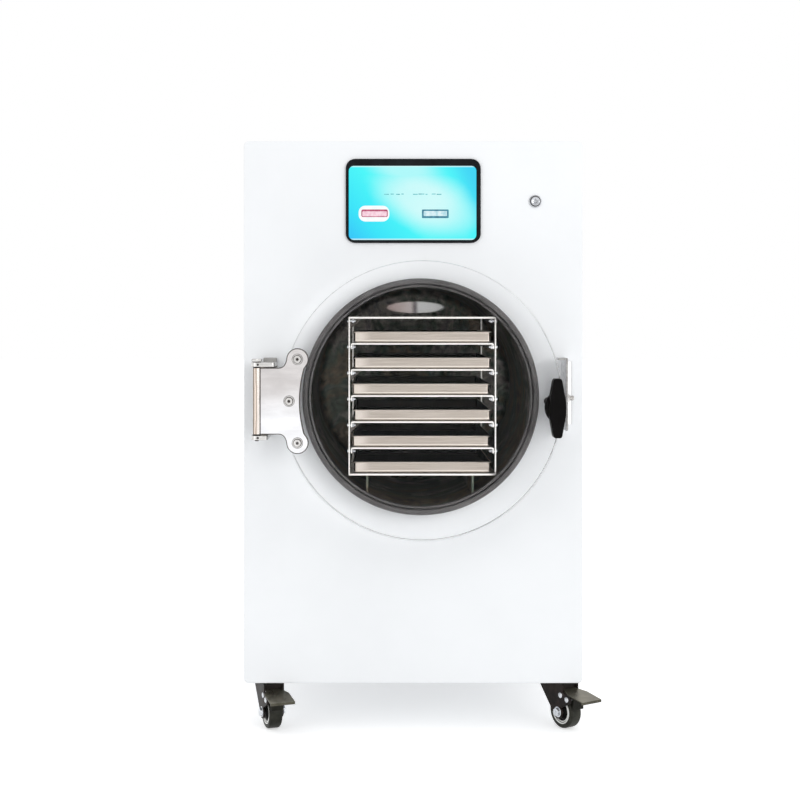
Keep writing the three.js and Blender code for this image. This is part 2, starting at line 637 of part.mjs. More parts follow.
// A stud locked in the strap; its inner end catches the tongue.
function keeperBoltBody() {
  const x = keeperX();
  const stud = bar('x', keeperBolt.radius, x - keeperBolt.inside, x + keeper.wall + keeperBolt.outside,
    keeperBoltCentre());
  const nut = bar('x', keeperBolt.nut, x + keeper.wall + gap.seat,
    x + keeper.wall + gap.seat + keeperBolt.nutHeight, keeperBoltCentre(), 6);
  return stud.add(nut);
}

// ---------------------------------------------------------------- shelves and trays
// Four posts joined by the top and bottom plates.
function shelfRack() {
  const half = rackWidth / 2;
  const [y0, y1] = [rackFrontY, rackFrontY + rackDepth];
  const [z0, z1] = [rackBottomZ, rackBottomZ + rackHeight];
  let body = block([rackX - half, y0, z0], [rackX + half, y1, z0 + rack.plate]);
  body = body.add(block([rackX - half, y0, z1 - rack.plate], [rackX + half, y1, z1]));
  for (const side of [-1, 1]) {
    const edge = rackX + side * half;
    const xs = [edge, edge - side * rack.post].sort((a, b) => a - b);
    for (const y of [y0, y1 - rack.postDepth]) {
      body = body.add(block([xs[0], y, z0], [xs[1], y + rack.postDepth, z1]));
    }
  }
  return body;
}

// A shelf is a folded plate whose end lips lie against the posts.
function heatedShelf(number) {
  const half = rackWidth / 2 - rack.post - gap.seat;
  const top = rackBottomZ + rack.plate + number * shelf.pitch;
  const [y0, y1] = [rackFrontY, rackFrontY + rackDepth];
  const drop = shelf.lip;
  const thick = rack.plate;
  const inner = half - shelf.lipWall;
  const profile = outline([[-half, top - drop], [-inner, top - drop], [-inner, top - thick],
    [inner, top - thick], [inner, top - drop], [half, top - drop], [half, top], [-half, top]]);
  return facing(profile, y1, y1 - y0).translate([rackX, 0, 0]);
}

// An open tray with a turned-out rim.
function trayBody(number) {
  const half = tray.width / 2;
  const bottom = rackBottomZ + rack.plate + number * shelf.pitch + gap.seat;
  const y0 = rackFrontY + tray.front;
  const y1 = y0 + tray.depth;
  const ring = (inset, z, height) => upright(roundedRectangle(-half + inset, y0 + inset, half - inset,
    y1 - inset, tray.corner - inset), z, height);
  const rim = ring(0, bottom + tray.height - tray.rim, tray.rim);
  const walls = ring(tray.rim, bottom, tray.height);
  const hollow = ring(tray.rim + tray.wall, bottom + tray.wall, tray.height);
  return rim.add(walls).subtract(hollow).translate([rackX + trayShifts[number], 0, 0]);
}

// ---------------------------------------------------------------- screen and button
function moduleOutline(extra) {
  const half = bezel.width / 2 - bezelModule.inset + extra;
  const tall = bezel.height / 2 - bezelModule.inset + extra;
  return roundedRectangle(-half, screenZ - tall, half, screenZ + tall, bezelModule.corner);
}

function displayOutline(extra) {
  const z = screenZ - display.drop;
  const half = display.width / 2 + extra;
  const tall = display.height / 2 + extra;
  return roundedRectangle(-half - display.left, z - tall, half - display.left, z + tall, display.corner);
}

// The frame stands proud of the panel; the housing behind it passes through.
function screenBezel() {
  const [half, tall] = [bezel.width / 2, bezel.height / 2];
  const frameBack = frontY - gap.seat;
  const frame = facing(roundedRectangle(-half, screenZ - tall, half, screenZ + tall, bezel.corner), frameBack,
    bezel.proud, bezel.edge);
  const housing = facing(moduleOutline(0), frontY + bezelModule.depth, bezelModule.depth + past);
  const pocketDepth = display.recess + display.glass + gap.seat;
  const pocket = facing(displayOutline(gap.seat), frameBack - bezel.proud + pocketDepth,
    pocketDepth + past);
  return frame.add(housing).subtract(pocket);
}

function touchScreen() {
  const face = frontY - gap.seat - bezel.proud + display.recess;
  return facing(displayOutline(0), face + display.glass, display.glass);
}

function buttonCentre() {
  return [button.right, 0, screenZ - button.drop];
}

function buttonRing() {
  const back = frontY - gap.seat;
  const face = back - button.proud;
  const rear = frontY + button.depth;
  const bore = cap.radius + gap.running;
  return turned('y', [[bore, face], [button.flange - button.edge, face], [button.flange, face + button.edge],
    [button.flange, back], [button.barrel, back], [button.barrel, rear], [bore, rear]],
  buttonCentre(), sideCount.small);
}

function buttonCap() {
  const face = frontY - gap.seat - cap.proud;
  const rear = frontY + button.depth - 2 * cap.travel;
  const { radius, dish, dishEdge, rim } = cap;
  return turned('y', [[0, face + dish], [radius - 2 * rim, face + dishEdge], [radius - rim, face],
    [radius - dishEdge, face], [radius, face + dishEdge], [radius, rear], [0, rear]],
  buttonCentre(), sideCount.small);
}

// ---------------------------------------------------------------- machinery
// A finned block whose shroud opens towards the back, with the motor on a strut in the middle.
function condenserBody() {
  const half = condenser.width / 2;
  const [z0, z1] = [fanZ - condenserHeight / 2, fanZ + condenserHeight / 2];
  const y1 = backY - condenser.behind;
  const coreBack = y1 - condenser.shroud;
  const y0 = coreBack - condenser.depth;
  const pitch = condenser.width / fin.count;
  const halfGroove = pitch * fin.share / 2;
  const centre = [0, 0, fanZ];
  let body = block([-half, y0, z0], [half, coreBack, z1]);
  for (let i = 0; i < fin.count; i += 1) {
    const x = -half + (i + 0.5) * pitch;
    body = body.subtract(block([x - halfGroove, y0 - past, z0 + fin.margin],
      [x + halfGroove, y0 + fin.depth, z1 - fin.margin]));
  }
  const shroud = block([-half, coreBack - past, z0], [half, y1, z1])
    .subtract(bar('y', fan.radius + fanSpace.clear, coreBack, y1 + past, centre, sideCount.medium));
  const motor = bar('y', fanSpace.motor, coreBack - past, fanFrontY() - fanSpace.front, centre);
  const spindle = bar('y', fanSpace.spindle, coreBack, y1 - fanSpace.spindleEnd, centre, sideCount.tiny);
  return body.add(shroud).add(motor).add(spindle);
}

function fanFrontY() {
  return backY - condenser.behind - fanSpace.behind - fan.depth;
}

// Twisted blades on a hub that runs on the motor's spindle.
function fanRotor() {
  const y0 = fanFrontY();
  const y1 = y0 + fan.depth;
  const { bladeHalf, bladeWall, root } = fan;
  const blade = block([-bladeHalf, -bladeWall / 2, fan.hub - root], [bladeHalf, bladeWall / 2, fan.radius])
    .rotate([0, 0, fan.twist]).translate([0, (y0 + y1) / 2, 0]);
  let rotor = bar('y', fan.hub, y0, y1, [0, 0, 0]);
  for (let i = 0; i < fan.blades; i += 1) {
    rotor = rotor.add(blade.rotate([0, i * 360 / fan.blades, 0]));
  }
  const bore = bar('y', fanSpace.spindle + gap.running, y0 - past, y1 + past, [0, 0, 0], sideCount.tiny);
  return rotor.subtract(bore).translate([0, 0, fanZ]);
}

// A welded steel can on a base plate.
function compressorBody() {
  const z = baseTopZ + gap.seat;
  const r = compressor.radius;
  const under = z + compressor.foot;
  const wallLow = under + compressor.waist;
  const wallHigh = under + compressor.height - compressor.dome;
  const domeAt = [[0, 1], [0.55, 0.86], [0.88, 0.5], [1, 0]];
  const dome = domeAt.map(([outwards, up]) => [r * outwards, wallHigh + compressor.dome * up]);
  const can = turned('z', [...dome, [r, wallLow], [r * 0.8, under], [0, under]], [0, 0, 0], sideCount.medium);
  const { wall, sideways: wide, lengthways: long, riser } = compressorBase;
  const foot = block([-r - wide, -r - long, z], [r + wide, r + long, z + wall]);
  const step = block([-r * riser, -r * riser, z + wall - past], [r * riser, r * riser, under + wall]);
  return can.add(foot).add(step).translate([compressor.right, frontY + compressor.forward, 0]);
}

// The control box hangs under the top sheet.
function controlBoxBody() {
  const y0 = frontY + controlBox.forward;
  const half = controlBox.width / 2;
  const top = topZ - cabinet.sheet - gap.seat;
  const face = roundedRectangle(-half, top - controlBox.height, half, top, controlBox.corner);
  return facing(face, y0 + controlBox.depth, controlBox.depth);
}

// The pipe for the vacuum pump leaves the drum's back and ends in a clamp flange behind the cabinet.
function vacuumPortBody() {
  const start = drumBackY + gap.seat;
  const end = backY + vacuumPort.reach;
  const outer = vacuumPort.bore + vacuumPort.wall;
  const { flange, flangeWidth, cone, bore } = vacuumPort;
  return turned('y', [[bore, start], [outer, start], [outer, end - flangeWidth - cone],
    [flange, end - flangeWidth], [flange, end], [bore, end]], [chamberX, 0, chamberZ], sideCount.small);
}

function inletOutline(inset) {
  const half = inlet.width / 2 - inletHousing.sideways - inset;
  const tall = inlet.height / 2 - inletHousing.upright - inset;
  return roundedRectangle(inlet.right - half, inletZ - tall, inlet.right + half, inletZ + tall,
    inletHousing.corner);
}

// A recessed mains socket with three blades.
function powerInlet() {
  const x = inlet.right;
  const face = backY + gap.seat + inlet.proud;
  const [half, tall] = [inlet.width / 2, inlet.height / 2];
  const plate = facing(roundedRectangle(x - half, inletZ - tall, x + half, inletZ + tall, inlet.corner), face,
    inlet.proud, inlet.edge);
  const housing = facing(inletOutline(0), backY + past, inlet.depth);
  const well = facing(roundedRectangle(x - inletWell.halfWidth, inletZ - inletWell.halfHeight,
    x + inletWell.halfWidth, inletZ + inletWell.halfHeight, inletWell.corner), face + past,
  inletWell.depth + past);
  const { halfWidth, halfHeight, spread, low, high, set } = inletBlade;
  let body = plate.add(housing).subtract(well);
  for (const [beside, lift] of [[-spread, low], [0, high], [spread, low]]) {
    body = body.add(block([x + beside - halfWidth, face - inletWell.depth - past, inletZ + lift - halfHeight],
      [x + beside + halfWidth, face - set, inletZ + lift + halfHeight]));
  }
  return body;
}

// ---------------------------------------------------------------- casters
// Each is drawn with its stem on the Z axis and its wheel trailing towards +X, then turned; its plate
// stays square with the base.
function casterPlate() {
  const half = caster.plate / 2;
  const under = casterPlateTop;
  const inside = under - caster.plateWall + past;
  const rivetTop = forkHead - gap.seat;
  let body = upright(roundedRectangle(-half, -half, half, half, caster.corner), under - caster.plateWall,
    caster.plateWall);
  const inset = half - casterHole.inset;
  for (const [x, y] of [[-1, -1], [1, -1], [1, 1], [-1, 1]]) {
    body = body.subtract(bar('z', casterHole.radius, under - caster.plateWall - past, under + past,
      [x * inset, y * inset, 0], casterHole.sides));
  }
  const race = bar('z', caster.race, forkTop + gap.seat, inside, [0, 0, 0], sideCount.tiny);
  const stem = bar('z', caster.stem, rivetTop - past, inside, [0, 0, 0], sideCount.tiny);
  const rivet = bar('z', casterRivet.radius, rivetTop - casterRivet.height, rivetTop, [0, 0, 0],
    sideCount.tiny);
  return body.add(race).add(stem).add(rivet);
}

// A pressed fork: a crown with two cheeks that narrow to the axle, which is riveted in.
function casterFork() {
  const { sheet, crown } = fork;
  const outside = forkInside + sheet;
  const axleCentre = [wheel.trail, 0, wheel.radius];
  const back = pedalX - fork.back;
  const from = radians(cheekEdge.from);
  const cheek = new THREE.Shape();
  cheek.moveTo(-crown, forkTop);
  cheek.lineTo(-crown + sheet, forkTop - fork.skirt);
  cheek.lineTo(wheel.trail + fork.axleBoss * Math.cos(from), wheel.radius + fork.axleBoss * Math.sin(from));
  cheek.absarc(wheel.trail, wheel.radius, fork.axleBoss, from, radians(cheekEdge.to));
  cheek.lineTo(pedalX + cheekEdge.front, pedalZ + cheekEdge.low);
  cheek.lineTo(pedalX + cheekEdge.front, pedalZ + cheekEdge.high);
  cheek.lineTo(pedalX + cheekEdge.top, pedalZ + cheekEdge.topRise);
  cheek.lineTo(back, pedalZ + cheekEdge.rearRise);
  cheek.lineTo(back, forkTop);
  const cheekAt = (y) => facing(cheek, y, sheet, 0, segmentCount.plain);
  const top = upright(roundedRectangle(-crown, -outside, back, outside, fork.corner), forkHead, sheet);
  const axle = bar('y', wheel.axle, -outside - past, outside + past, axleCentre, sideCount.tiny);
  const headOuter = outside + axleHead.height;
  const head = bar('y', axleHead.radius, outside - past, headOuter, axleCentre, sideCount.hex);
  const nut = bar('y', axleHead.radius, -headOuter, -outside + past, axleCentre, sideCount.hex);
  const rivetEnd = outside + pedalEar.rivetHead;
  const rivet = bar('y', pedalEar.rivet, -rivetEnd, rivetEnd, [pedalX, 0, pedalZ], sideCount.tiny);
  const stemHole = bar('z', caster.stem + gap.running, forkHead - past, forkTop + past, [0, 0, 0],
    sideCount.tiny);
  return top.add(cheekAt(outside)).add(cheekAt(-forkInside)).add(axle).add(head).add(nut).add(rivet)
    .subtract(stemHole);
}

function casterWheel() {
  const { radius, width, hub, hubRecess, hubStep, axle, tread, boss, bossTaper } = wheel;
  const half = width / 2;
  const rim = radius - tread;
  const side = (s) => [[radius, s * (half - wheel.round)], [radius - wheel.round, s * half],
    [rim, s * half], [rim - hubStep, s * (half - hubRecess)], [hub, s * (half - hubRecess)],
    [hub - bossTaper, s * (half + boss)], [axle + gap.running, s * (half + boss)]];
  const profile = [...side(-1).reverse(), ...side(1)];
  return turned('y', profile, [wheel.trail, 0, radius], sideCount.wheel);
}

// A sheet lever between the cheeks; pressed down, its shoe bears on the tread.
function brakePedal() {
  const { sheet, lip, lipWall, join } = pedal;
  const [rootHeight, tipHeight] = [forkHead - pedal.rootDrop, forkHead - pedal.tipDrop];
  const [root, tip] = [pedalX - pedal.behind, pedalX + pedal.reach];
  const [flare, flareEnd] = [pedalX + pedalPlan.flareAt, pedalX + pedalPlan.flareAt + pedalPlan.flareRun];
  const rootHalf = pedalRootHalf;
  const tipHalf = rootHalf + pedalPlan.flareOut;
  const slope = (tipHeight - rootHeight) / (tip - root);
  const topAt = (x) => rootHeight + slope * (x - root);
  const under = tip - lipWall;
  const section = outline([[root, topAt(root) - sheet], [under, topAt(under) - sheet],
    [under, tipHeight - lip], [tip, tipHeight - lip], [tip, tipHeight], [root, rootHeight]]);
  const plan = outline([[root - past, -rootHalf], [flare, -rootHalf], [flareEnd, -tipHalf],
    [tip + past, -tipHalf], [tip + past, tipHalf], [flareEnd, tipHalf], [flare, rootHalf],
    [root - past, rootHalf]]);
  const tread = facing(section, tipHalf + past, 2 * (tipHalf + past))
    .intersect(upright(plan, 0, bottomZ));
  const ear = new THREE.Shape();
  ear.absarc(pedalX, pedalZ, pedalEar.radius - pedalEar.edge, Math.PI, 2 * Math.PI);
  ear.lineTo(pedalX + pedalEar.radius, topAt(pedalX + pedalEar.radius) - join);
  ear.lineTo(root + join, topAt(root) - join);
  const shoeX = wheel.trail + pedalShoe.ahead;
  const shoeDrop = Math.sqrt((wheel.radius + pedalShoe.clearance) ** 2 - pedalShoe.ahead ** 2);
  const shoeHalf = wheel.width / 2 - pedalShoe.edge;
  let body = tread.add(block([shoeX, -shoeHalf, wheel.radius + shoeDrop],
    [shoeX + pedalShoe.wall, shoeHalf, topAt(shoeX) - join]));
  for (const y of [rootHalf, -rootHalf + pedalEar.wall]) {
    body = body.add(facing(ear, y, pedalEar.wall));
  }
  return body.subtract(bar('y', pedalEar.rivet + gap.running, -rootHalf - past, rootHalf + past,
    [pedalX, 0, pedalZ], sideCount.tiny));
}

function casterGroup(place, x, y) {
  const group = new THREE.Group();
  group.position.set(x, y, 0);
  group.rotation.z = radians(casterTurns[place]);
  const plate = mesh(`caster_plate_${place}`, casterPlate(), zinc);
  plate.rotation.z = -radians(casterTurns[place]);
  group.add(plate);
  group.add(mesh(`caster_fork_${place}`, casterFork(), darkSteel));
  group.add(mesh(`caster_wheel_${place}`, casterWheel(), rubber));
  group.add(mesh(`brake_pedal_${place}`, brakePedal(), darkSteel));
  return group;
}

// ---------------------------------------------------------------- assembly
const freezeDryer = new THREE.Group();

freezeDryer.add(
  mesh('front_panel', frontPanel(), paint),
  mesh('side_panel_left', sidePanel(-1), paint),
  mesh('side_panel_right', sidePanel(1), paint),
  mesh('top_panel', topPanel(), paint),
  mesh('rear_panel', rearPanel(), paint),
  mesh('base_frame', baseFrame(), zinc),
  mesh('vacuum_chamber', vacuumChamber(), stainless),
  mesh('evaporator_coil', evaporatorCoil(), copper),
  mesh('chamber_insulation', chamberInsulation(), foam),
  mesh('door_gasket', doorGasket(), rubber),
  mesh('door_disc', doorDisc(), acrylic),
  mesh('hinge_plate', hingePlate(), polished),
  mesh('hinge_bracket_top', hingeBracket(1, hingeArm.width), polished),
  mesh('hinge_bracket_bottom', hingeBracket(-1, hingeArm.lowerWidth), polished),
  mesh('hinge_pin', hingePin(), stainless),
  mesh('door_handle', doorHandle(), blackPlastic),
  mesh('latch_cam', latchCam(), stainless),
  mesh('keeper_bracket', keeperBracket(), polished),
  mesh('keeper_bolt', keeperBoltBody(), zinc),
  mesh('shelf_rack', shelfRack(), stainless),
  mesh('screen_bezel', screenBezel(), blackPlastic),
  mesh('touch_screen', touchScreen(), glow),
  mesh('button_ring', buttonRing(), zinc),
  mesh('button_cap', buttonCap(), stainless),
  mesh('compressor', compressorBody(), blackPlastic),
  mesh('condenser', condenserBody(), darkSteel),
  mesh('fan_rotor', fanRotor(), blackPlastic),
  mesh('control_box', controlBoxBody(), zinc),
  mesh('vacuum_port', vacuumPortBody(), stainless),
  mesh('power_inlet', powerInlet(), blackPlastic),
);

['top', 'middle', 'bottom'].forEach((place, i) => {
  freezeDryer.add(mesh(`hinge_screw_${place}`, hingeScrewAt(...screwPlaces()[i]), zinc));
});
for (let i = 1; i <= shelf.count; i += 1) {
  freezeDryer.add(mesh(`heated_shelf_${i}`, heatedShelf(i), stainless));
}
for (let i = 0; i <= shelf.count; i += 1) {
  freezeDryer.add(mesh(`tray_${i + 1}`, trayBody(i), stainless));
}
for (const [place, x, y] of [
  ['front_left', -casterX, frontY + caster.setback],
  ['front_right', casterX, frontY + caster.setback],
  ['rear_left', -casterX, backY - caster.setback],
  ['rear_right', casterX, backY - caster.setback],
]) {
  freezeDryer.add(casterGroup(place, x, y));
}

export default freezeDryer;
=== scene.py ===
"""The looks of a floor-standing freeze dryer, built around its packed solids.

Lengths are metres in the frame of the packed model: +X to the right seen from
the front, +Y from the front into the cabinet, +Z up, with the floor at zero.
"""

import logging
import math
from contextlib import contextmanager
from dataclasses import dataclass
from enum import Enum
from typing import Callable, ClassVar, Iterator, Sequence

import bpy
import numpy as np
from mathutils import Matrix, Vector


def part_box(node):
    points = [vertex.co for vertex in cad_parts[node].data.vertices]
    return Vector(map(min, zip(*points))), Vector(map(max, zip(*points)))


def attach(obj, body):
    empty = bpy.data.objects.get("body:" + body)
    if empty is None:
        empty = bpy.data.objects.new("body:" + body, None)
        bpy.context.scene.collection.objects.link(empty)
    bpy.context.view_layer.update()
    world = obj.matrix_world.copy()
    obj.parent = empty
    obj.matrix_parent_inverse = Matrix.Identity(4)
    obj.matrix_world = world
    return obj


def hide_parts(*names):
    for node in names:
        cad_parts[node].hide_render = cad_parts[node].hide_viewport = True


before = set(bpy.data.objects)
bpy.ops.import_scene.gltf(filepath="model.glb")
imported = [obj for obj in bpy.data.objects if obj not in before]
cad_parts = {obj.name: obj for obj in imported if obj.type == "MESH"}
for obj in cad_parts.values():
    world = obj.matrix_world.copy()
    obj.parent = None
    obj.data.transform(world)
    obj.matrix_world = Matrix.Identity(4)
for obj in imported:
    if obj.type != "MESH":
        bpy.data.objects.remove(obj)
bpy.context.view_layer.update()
LOG = logging.getLogger("freeze_dryer")

Colour = tuple[float, float, float, float]
Point = tuple[float, float]


def tone(red: int, green: int, blue: int) -> Colour:
    """Turns a colour written from 0 to 255 into the linear one that a shader takes.

    Args:
        red, green, blue: The display values of the colour.

    Returns:
        The linear colour with full alpha.
    """
    values = [v / 255 for v in (red, green, blue)]
    linear = [v / 12.92 if v <= 0.04045 else ((v + 0.055) / 1.055) ** 2.4 for v in values]
    return (linear[0], linear[1], linear[2], 1.0)


def middle(node: str) -> Vector:
    """Gives the middle of a node's box."""
    low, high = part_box(node)
    return (low + high) / 2


# ------------------------------------------------------------------ outlines
def arc(u: float, v: float, radius: float, start: float, end: float, steps: int) -> list[Point]:
    """Gives points along a circular arc.

    Args:
        u, v: The centre.
        radius: The arc's radius.
        start, end: Its angles in degrees, anticlockwise from +u.
        steps: How many chords it has.

    Returns:
        The arc's points, both ends included.
    """
    turns = [math.radians(start + (end - start) * i / steps) for i in range(steps + 1)]
    return [(u + radius * math.cos(t), v + radius * math.sin(t)) for t in turns]


def rounded_rectangle(low: Point, high: Point, radius: float, steps: int = 6) -> list[Point]:
    """Gives the outline of a rectangle with round corners.

    Args:
        low, high: Its lowest and highest corner.
        radius: The radius of its corners.
        steps: How many chords each corner has.

    Returns:
        The outline's points, anticlockwise.
    """
    (u0, v0), (u1, v1) = low, high
    corners = [(u1 - radius, v0 + radius, -90), (u1 - radius, v1 - radius, 0),
               (u0 + radius, v1 - radius, 90), (u0 + radius, v0 + radius, 180)]
    return [p for u, v, start in corners for p in arc(u, v, radius, start, start + 90, steps)]


def inset_rectangle(low: Point, high: Point, radius: float, inset: float, steps: int = 6) -> list[Point]:
    """Gives a rounded rectangle whose sides and corners are moved inwards.

    Args:
        low, high: The corners before it is moved.
        radius: The corner radius before it is moved.
        inset: How far each side moves in; a negative one moves it out.
        steps: How many chords each corner has.

    Returns:
        The outline's points, anticlockwise.
    """
    return rounded_rectangle((low[0] + inset, low[1] + inset), (high[0] - inset, high[1] - inset),
                             max(radius - inset, 1e-4), steps)


def quarter_round(radius: float, steps: int = 3) -> list[Point]:
    """Gives how far in and how far along the points of a rounded edge lie.

    Args:
        radius: The edge's radius.
        steps: How many chords it has.

    Returns:
        Pairs of inset and distance from the finished face, side first.
    """
    turns = [math.pi / 2 * i / steps for i in range(steps + 1)]
    return [(radius * (1 - math.cos(t)), radius * (1 - math.sin(t))) for t in turns]


class Axis(Enum):
    """A direction of the frame along which a piece is turned or has its thickness."""

    X = (1.0, 0.0, 0.0)
    Y = (0.0, 1.0, 0.0)
    Z = (0.0, 0.0, 1.0)

    @property
    def vector(self) -> Vector:
        """The unit vector of the axis."""
        return Vector(self.value)

    def place(self, point: Point, along: float) -> Vector:
        """Puts a point of a flat outline at its place along the axis."""
        u, v = point
        if self is Axis.X:
            return Vector((along, u, v))
        return Vector((u, along, v)) if self is Axis.Y else Vector((u, v, along))

    def outwards(self) -> Vector:
        """The direction in which a turned profile's radius is measured."""
        return Vector((0, 0, 1)) if self is Axis.X else Vector((1, 0, 0))


# ------------------------------------------------------------------ modelling
def deselect() -> None:
    """Clears the selection, so that the next tool acts on its own piece."""
    bpy.ops.object.select_all(action="DESELECT")


class Workpiece:
    """A mesh while it is being made with edit-mode tools and modifiers."""

    def __init__(self, thing: bpy.types.Object) -> None:
        """Wraps a mesh object."""
        self.thing = thing

    # starting shapes
    @classmethod
    def _begun(cls) -> "Workpiece":
        """Takes the new primitive and puts its place in its mesh."""
        bpy.ops.object.transform_apply(location=True, rotation=True, scale=True)
        return cls(bpy.context.active_object)

    @classmethod
    def block(cls, low: Sequence[float], high: Sequence[float]) -> "Workpiece":
        """Starts a box from its lowest to its highest corner."""
        deselect()
        low, high = Vector(low), Vector(high)
        bpy.ops.mesh.primitive_cube_add(size=1.0, location=(low + high) / 2)
        bpy.context.active_object.scale = high - low
        return cls._begun()

    @classmethod
    def rod(cls, axis: Axis, radius: float, start: float, end: float, centre: Sequence[float],
            sides: int = 32) -> "Workpiece":
        """Starts a round or many-sided rod.

        Args:
            axis: The direction that it runs in.
            radius: Its radius.
            start, end: Its ends along the axis.
            centre: A point that its axis passes through.
            sides: How many sides it has.

        Returns:
            The rod.
        """
        deselect()
        turn = {Axis.X: (0, math.pi / 2, 0), Axis.Y: (math.pi / 2, 0, 0), Axis.Z: (0, 0, 0)}[axis]
        place = Vector(centre)
        place += axis.vector * ((start + end) / 2 - place.dot(axis.vector))
        bpy.ops.mesh.primitive_cylinder_add(vertices=sides, radius=radius, depth=abs(end - start),
                                            location=place, rotation=turn)
        return cls._begun()

    @classmethod
    def _wire(cls, points: Sequence[Vector]) -> "Workpiece":
        """Starts a closed wire through the points."""
        deselect()
        bpy.ops.mesh.primitive_circle_add(vertices=len(points), radius=1.0, fill_type="NOTHING")
        piece = cls._begun()
        for vertex, point in zip(piece.thing.data.vertices, points):
            vertex.co = point
        return piece

    @classmethod
    def lathe(cls, axis: Axis, profile: Sequence[Point], centre: Sequence[float],
              steps: int = 96) -> "Workpiece":
        """Turns a closed profile about an axis.

        Args:
            axis: The direction of the axis.
            profile: Pairs of radius and place along the axis, going round the section.
            centre: A point on the axis.
            steps: How many steps the turn has.

        Returns:
            The turned piece, with its faces outwards.
        """
        base = Vector(centre)
        base -= axis.vector * base.dot(axis.vector)
        piece = cls._wire([base + axis.outwards() * r + axis.vector * along for r, along in profile])
        with piece.editing():
            bpy.ops.mesh.select_all(action="SELECT")
            bpy.ops.mesh.spin(steps=steps, angle=math.tau, center=base, axis=axis.vector)
        return piece.merged()

    @classmethod
    def loft(cls, axis: Axis, rings: Sequence[tuple[Sequence[Point], float]]) -> "Workpiece":
        """Extrudes a face from outline to outline.

        Args:
            axis: The direction that the outlines face.
            rings: Pairs of an outline and its place along the axis, all with as many points.

        Returns:
            The closed piece, with its faces outwards.
        """
        places = [[axis.place(p, along) for p in outline] for outline, along in rings]
        piece = cls._wire(places[0])
        with piece.editing():
            bpy.ops.mesh.select_all(action="SELECT")
            bpy.ops.mesh.edge_face_add()
        for before, after in zip(places, places[1:]):
            with piece.editing():
                bpy.ops.mesh.extrude_region_move(TRANSFORM_OT_translate={"value": (0, 0, 0)})
            old = np.array(before)
            for vertex in piece.thing.data.vertices:
                if vertex.select:
                    nearest = int(((old - np.array(vertex.co)) ** 2).sum(1).argmin())
                    vertex.co = after[nearest]
        return piece.faced()

    @classmethod
    def plate(cls, axis: Axis, outline: Sequence[Point], start: float, end: float) -> "Workpiece":
        """Extrudes one outline from start to end along an axis."""
        return cls.loft(axis, [(outline, start), (outline, end)])

    @classmethod
    def tube(cls, points: Sequence[Sequence[float]], radius: float, closed: bool = False) -> "Workpiece":
        """Makes a wire or bead of round section along a line.

        Args:
            points: The points that it follows.
            radius: Its radius.
            closed: Whether it joins itself.

        Returns:
            The mesh of the wire.
        """
        deselect()
        data = bpy.data.curves.new("wire", "CURVE")
        data.dimensions, data.bevel_depth, data.bevel_resolution = "3D", radius, 3
        data.use_fill_caps, data.resolution_u = not closed, 4
        spline = data.splines.new("POLY")
        spline.points.add(len(points) - 1)
        for knot, point in zip(spline.points, points):
            knot.co = (*point, 1.0)
        spline.use_cyclic_u = closed
        thing = bpy.data.objects.new("wire", data)
        bpy.context.scene.collection.objects.link(thing)
        thing.select_set(True)
        bpy.context.view_layer.objects.active = thing
        bpy.ops.object.convert(target="MESH")
        return cls(bpy.context.active_object).merged()

    @classmethod
    def from_node(cls, node: str) -> "Workpiece":
        """Starts from a merged copy of a packed node, with its flat faces whole."""
        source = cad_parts[node]
        thing = bpy.data.objects.new(node + "_copy", source.data.copy())
        bpy.context.scene.collection.objects.link(thing)
        thing.data.materials.clear()
        piece = cls(thing)
        with piece.editing():
            bpy.ops.mesh.select_all(action="SELECT")
            bpy.ops.mesh.remove_doubles(threshold=1e-6)
            bpy.ops.mesh.dissolve_limited(angle_limit=math.radians(0.6))
        return piece

    # tools
    @contextmanager
    def editing(self) -> Iterator[None]:
        """Opens the piece in edit mode, selecting by vertex."""
        self.activate()
        bpy.context.tool_settings.mesh_select_mode = (True, False, False)
        bpy.ops.object.mode_set(mode="EDIT")
        yield
        bpy.ops.object.mode_set(mode="OBJECT")

    def activate(self) -> None:
        """Makes this the only selected and the active object."""
        deselect()
        self.thing.select_set(True)
        bpy.context.view_layer.objects.active = self.thing

    def faced(self) -> "Workpiece":
        """Turns every face outwards."""
        with self.editing():
            bpy.ops.mesh.select_all(action="SELECT")
            bpy.ops.mesh.normals_make_consistent(inside=False)
        return self

    def merged(self) -> "Workpiece":
        """Joins points that lie together and turns the faces outwards."""
        with self.editing():
            bpy.ops.mesh.select_all(action="SELECT")
            bpy.ops.mesh.remove_doubles(threshold=2e-6)
            bpy.ops.mesh.delete_loose(use_verts=True, use_edges=True, use_faces=False)
        return self.faced()

    def modified(self, kind: str, **settings: object) -> "Workpiece":
        """Adds a modifier with its settings and applies it."""
        modifier = self.thing.modifiers.new(kind.title(), kind)
        for name, value in settings.items():
            setattr(modifier, name, value)
        self.activate()
        bpy.ops.object.modifier_apply(modifier=modifier.name)
        return self

    def rounded(self, width: float, segments: int = 2, angle: float = 30.0) -> "Workpiece":
        """Rounds every edge that is sharper than an angle in degrees."""
        return self.modified("BEVEL", width=width, segments=segments, limit_method="ANGLE",
                             angle_limit=math.radians(angle), use_clamp_overlap=True)

    def cut(self, *tools: "Workpiece") -> "Workpiece":
        """Cuts other pieces away from this one."""
        return self._boolean("DIFFERENCE", tools)

    def fused(self, *others: "Workpiece") -> "Workpiece":
        """Joins other pieces to this one as one solid."""
        return self._boolean("UNION", others)

    def _boolean(self, operation: str, tools: Sequence["Workpiece"]) -> "Workpiece":
        """Applies one boolean with each tool and deletes the tool."""
        for tool in tools:
            self.modified("BOOLEAN", operation=operation, solver="EXACT", object=tool.thing)
            bpy.data.objects.remove(tool.thing)
        return self

    def joined(self, *others: "Workpiece") -> "Workpiece":
        """Puts other pieces in the same mesh without changing them."""
        self.activate()
        for other in others:
            other.thing.select_set(True)
        bpy.ops.object.join()
        return self

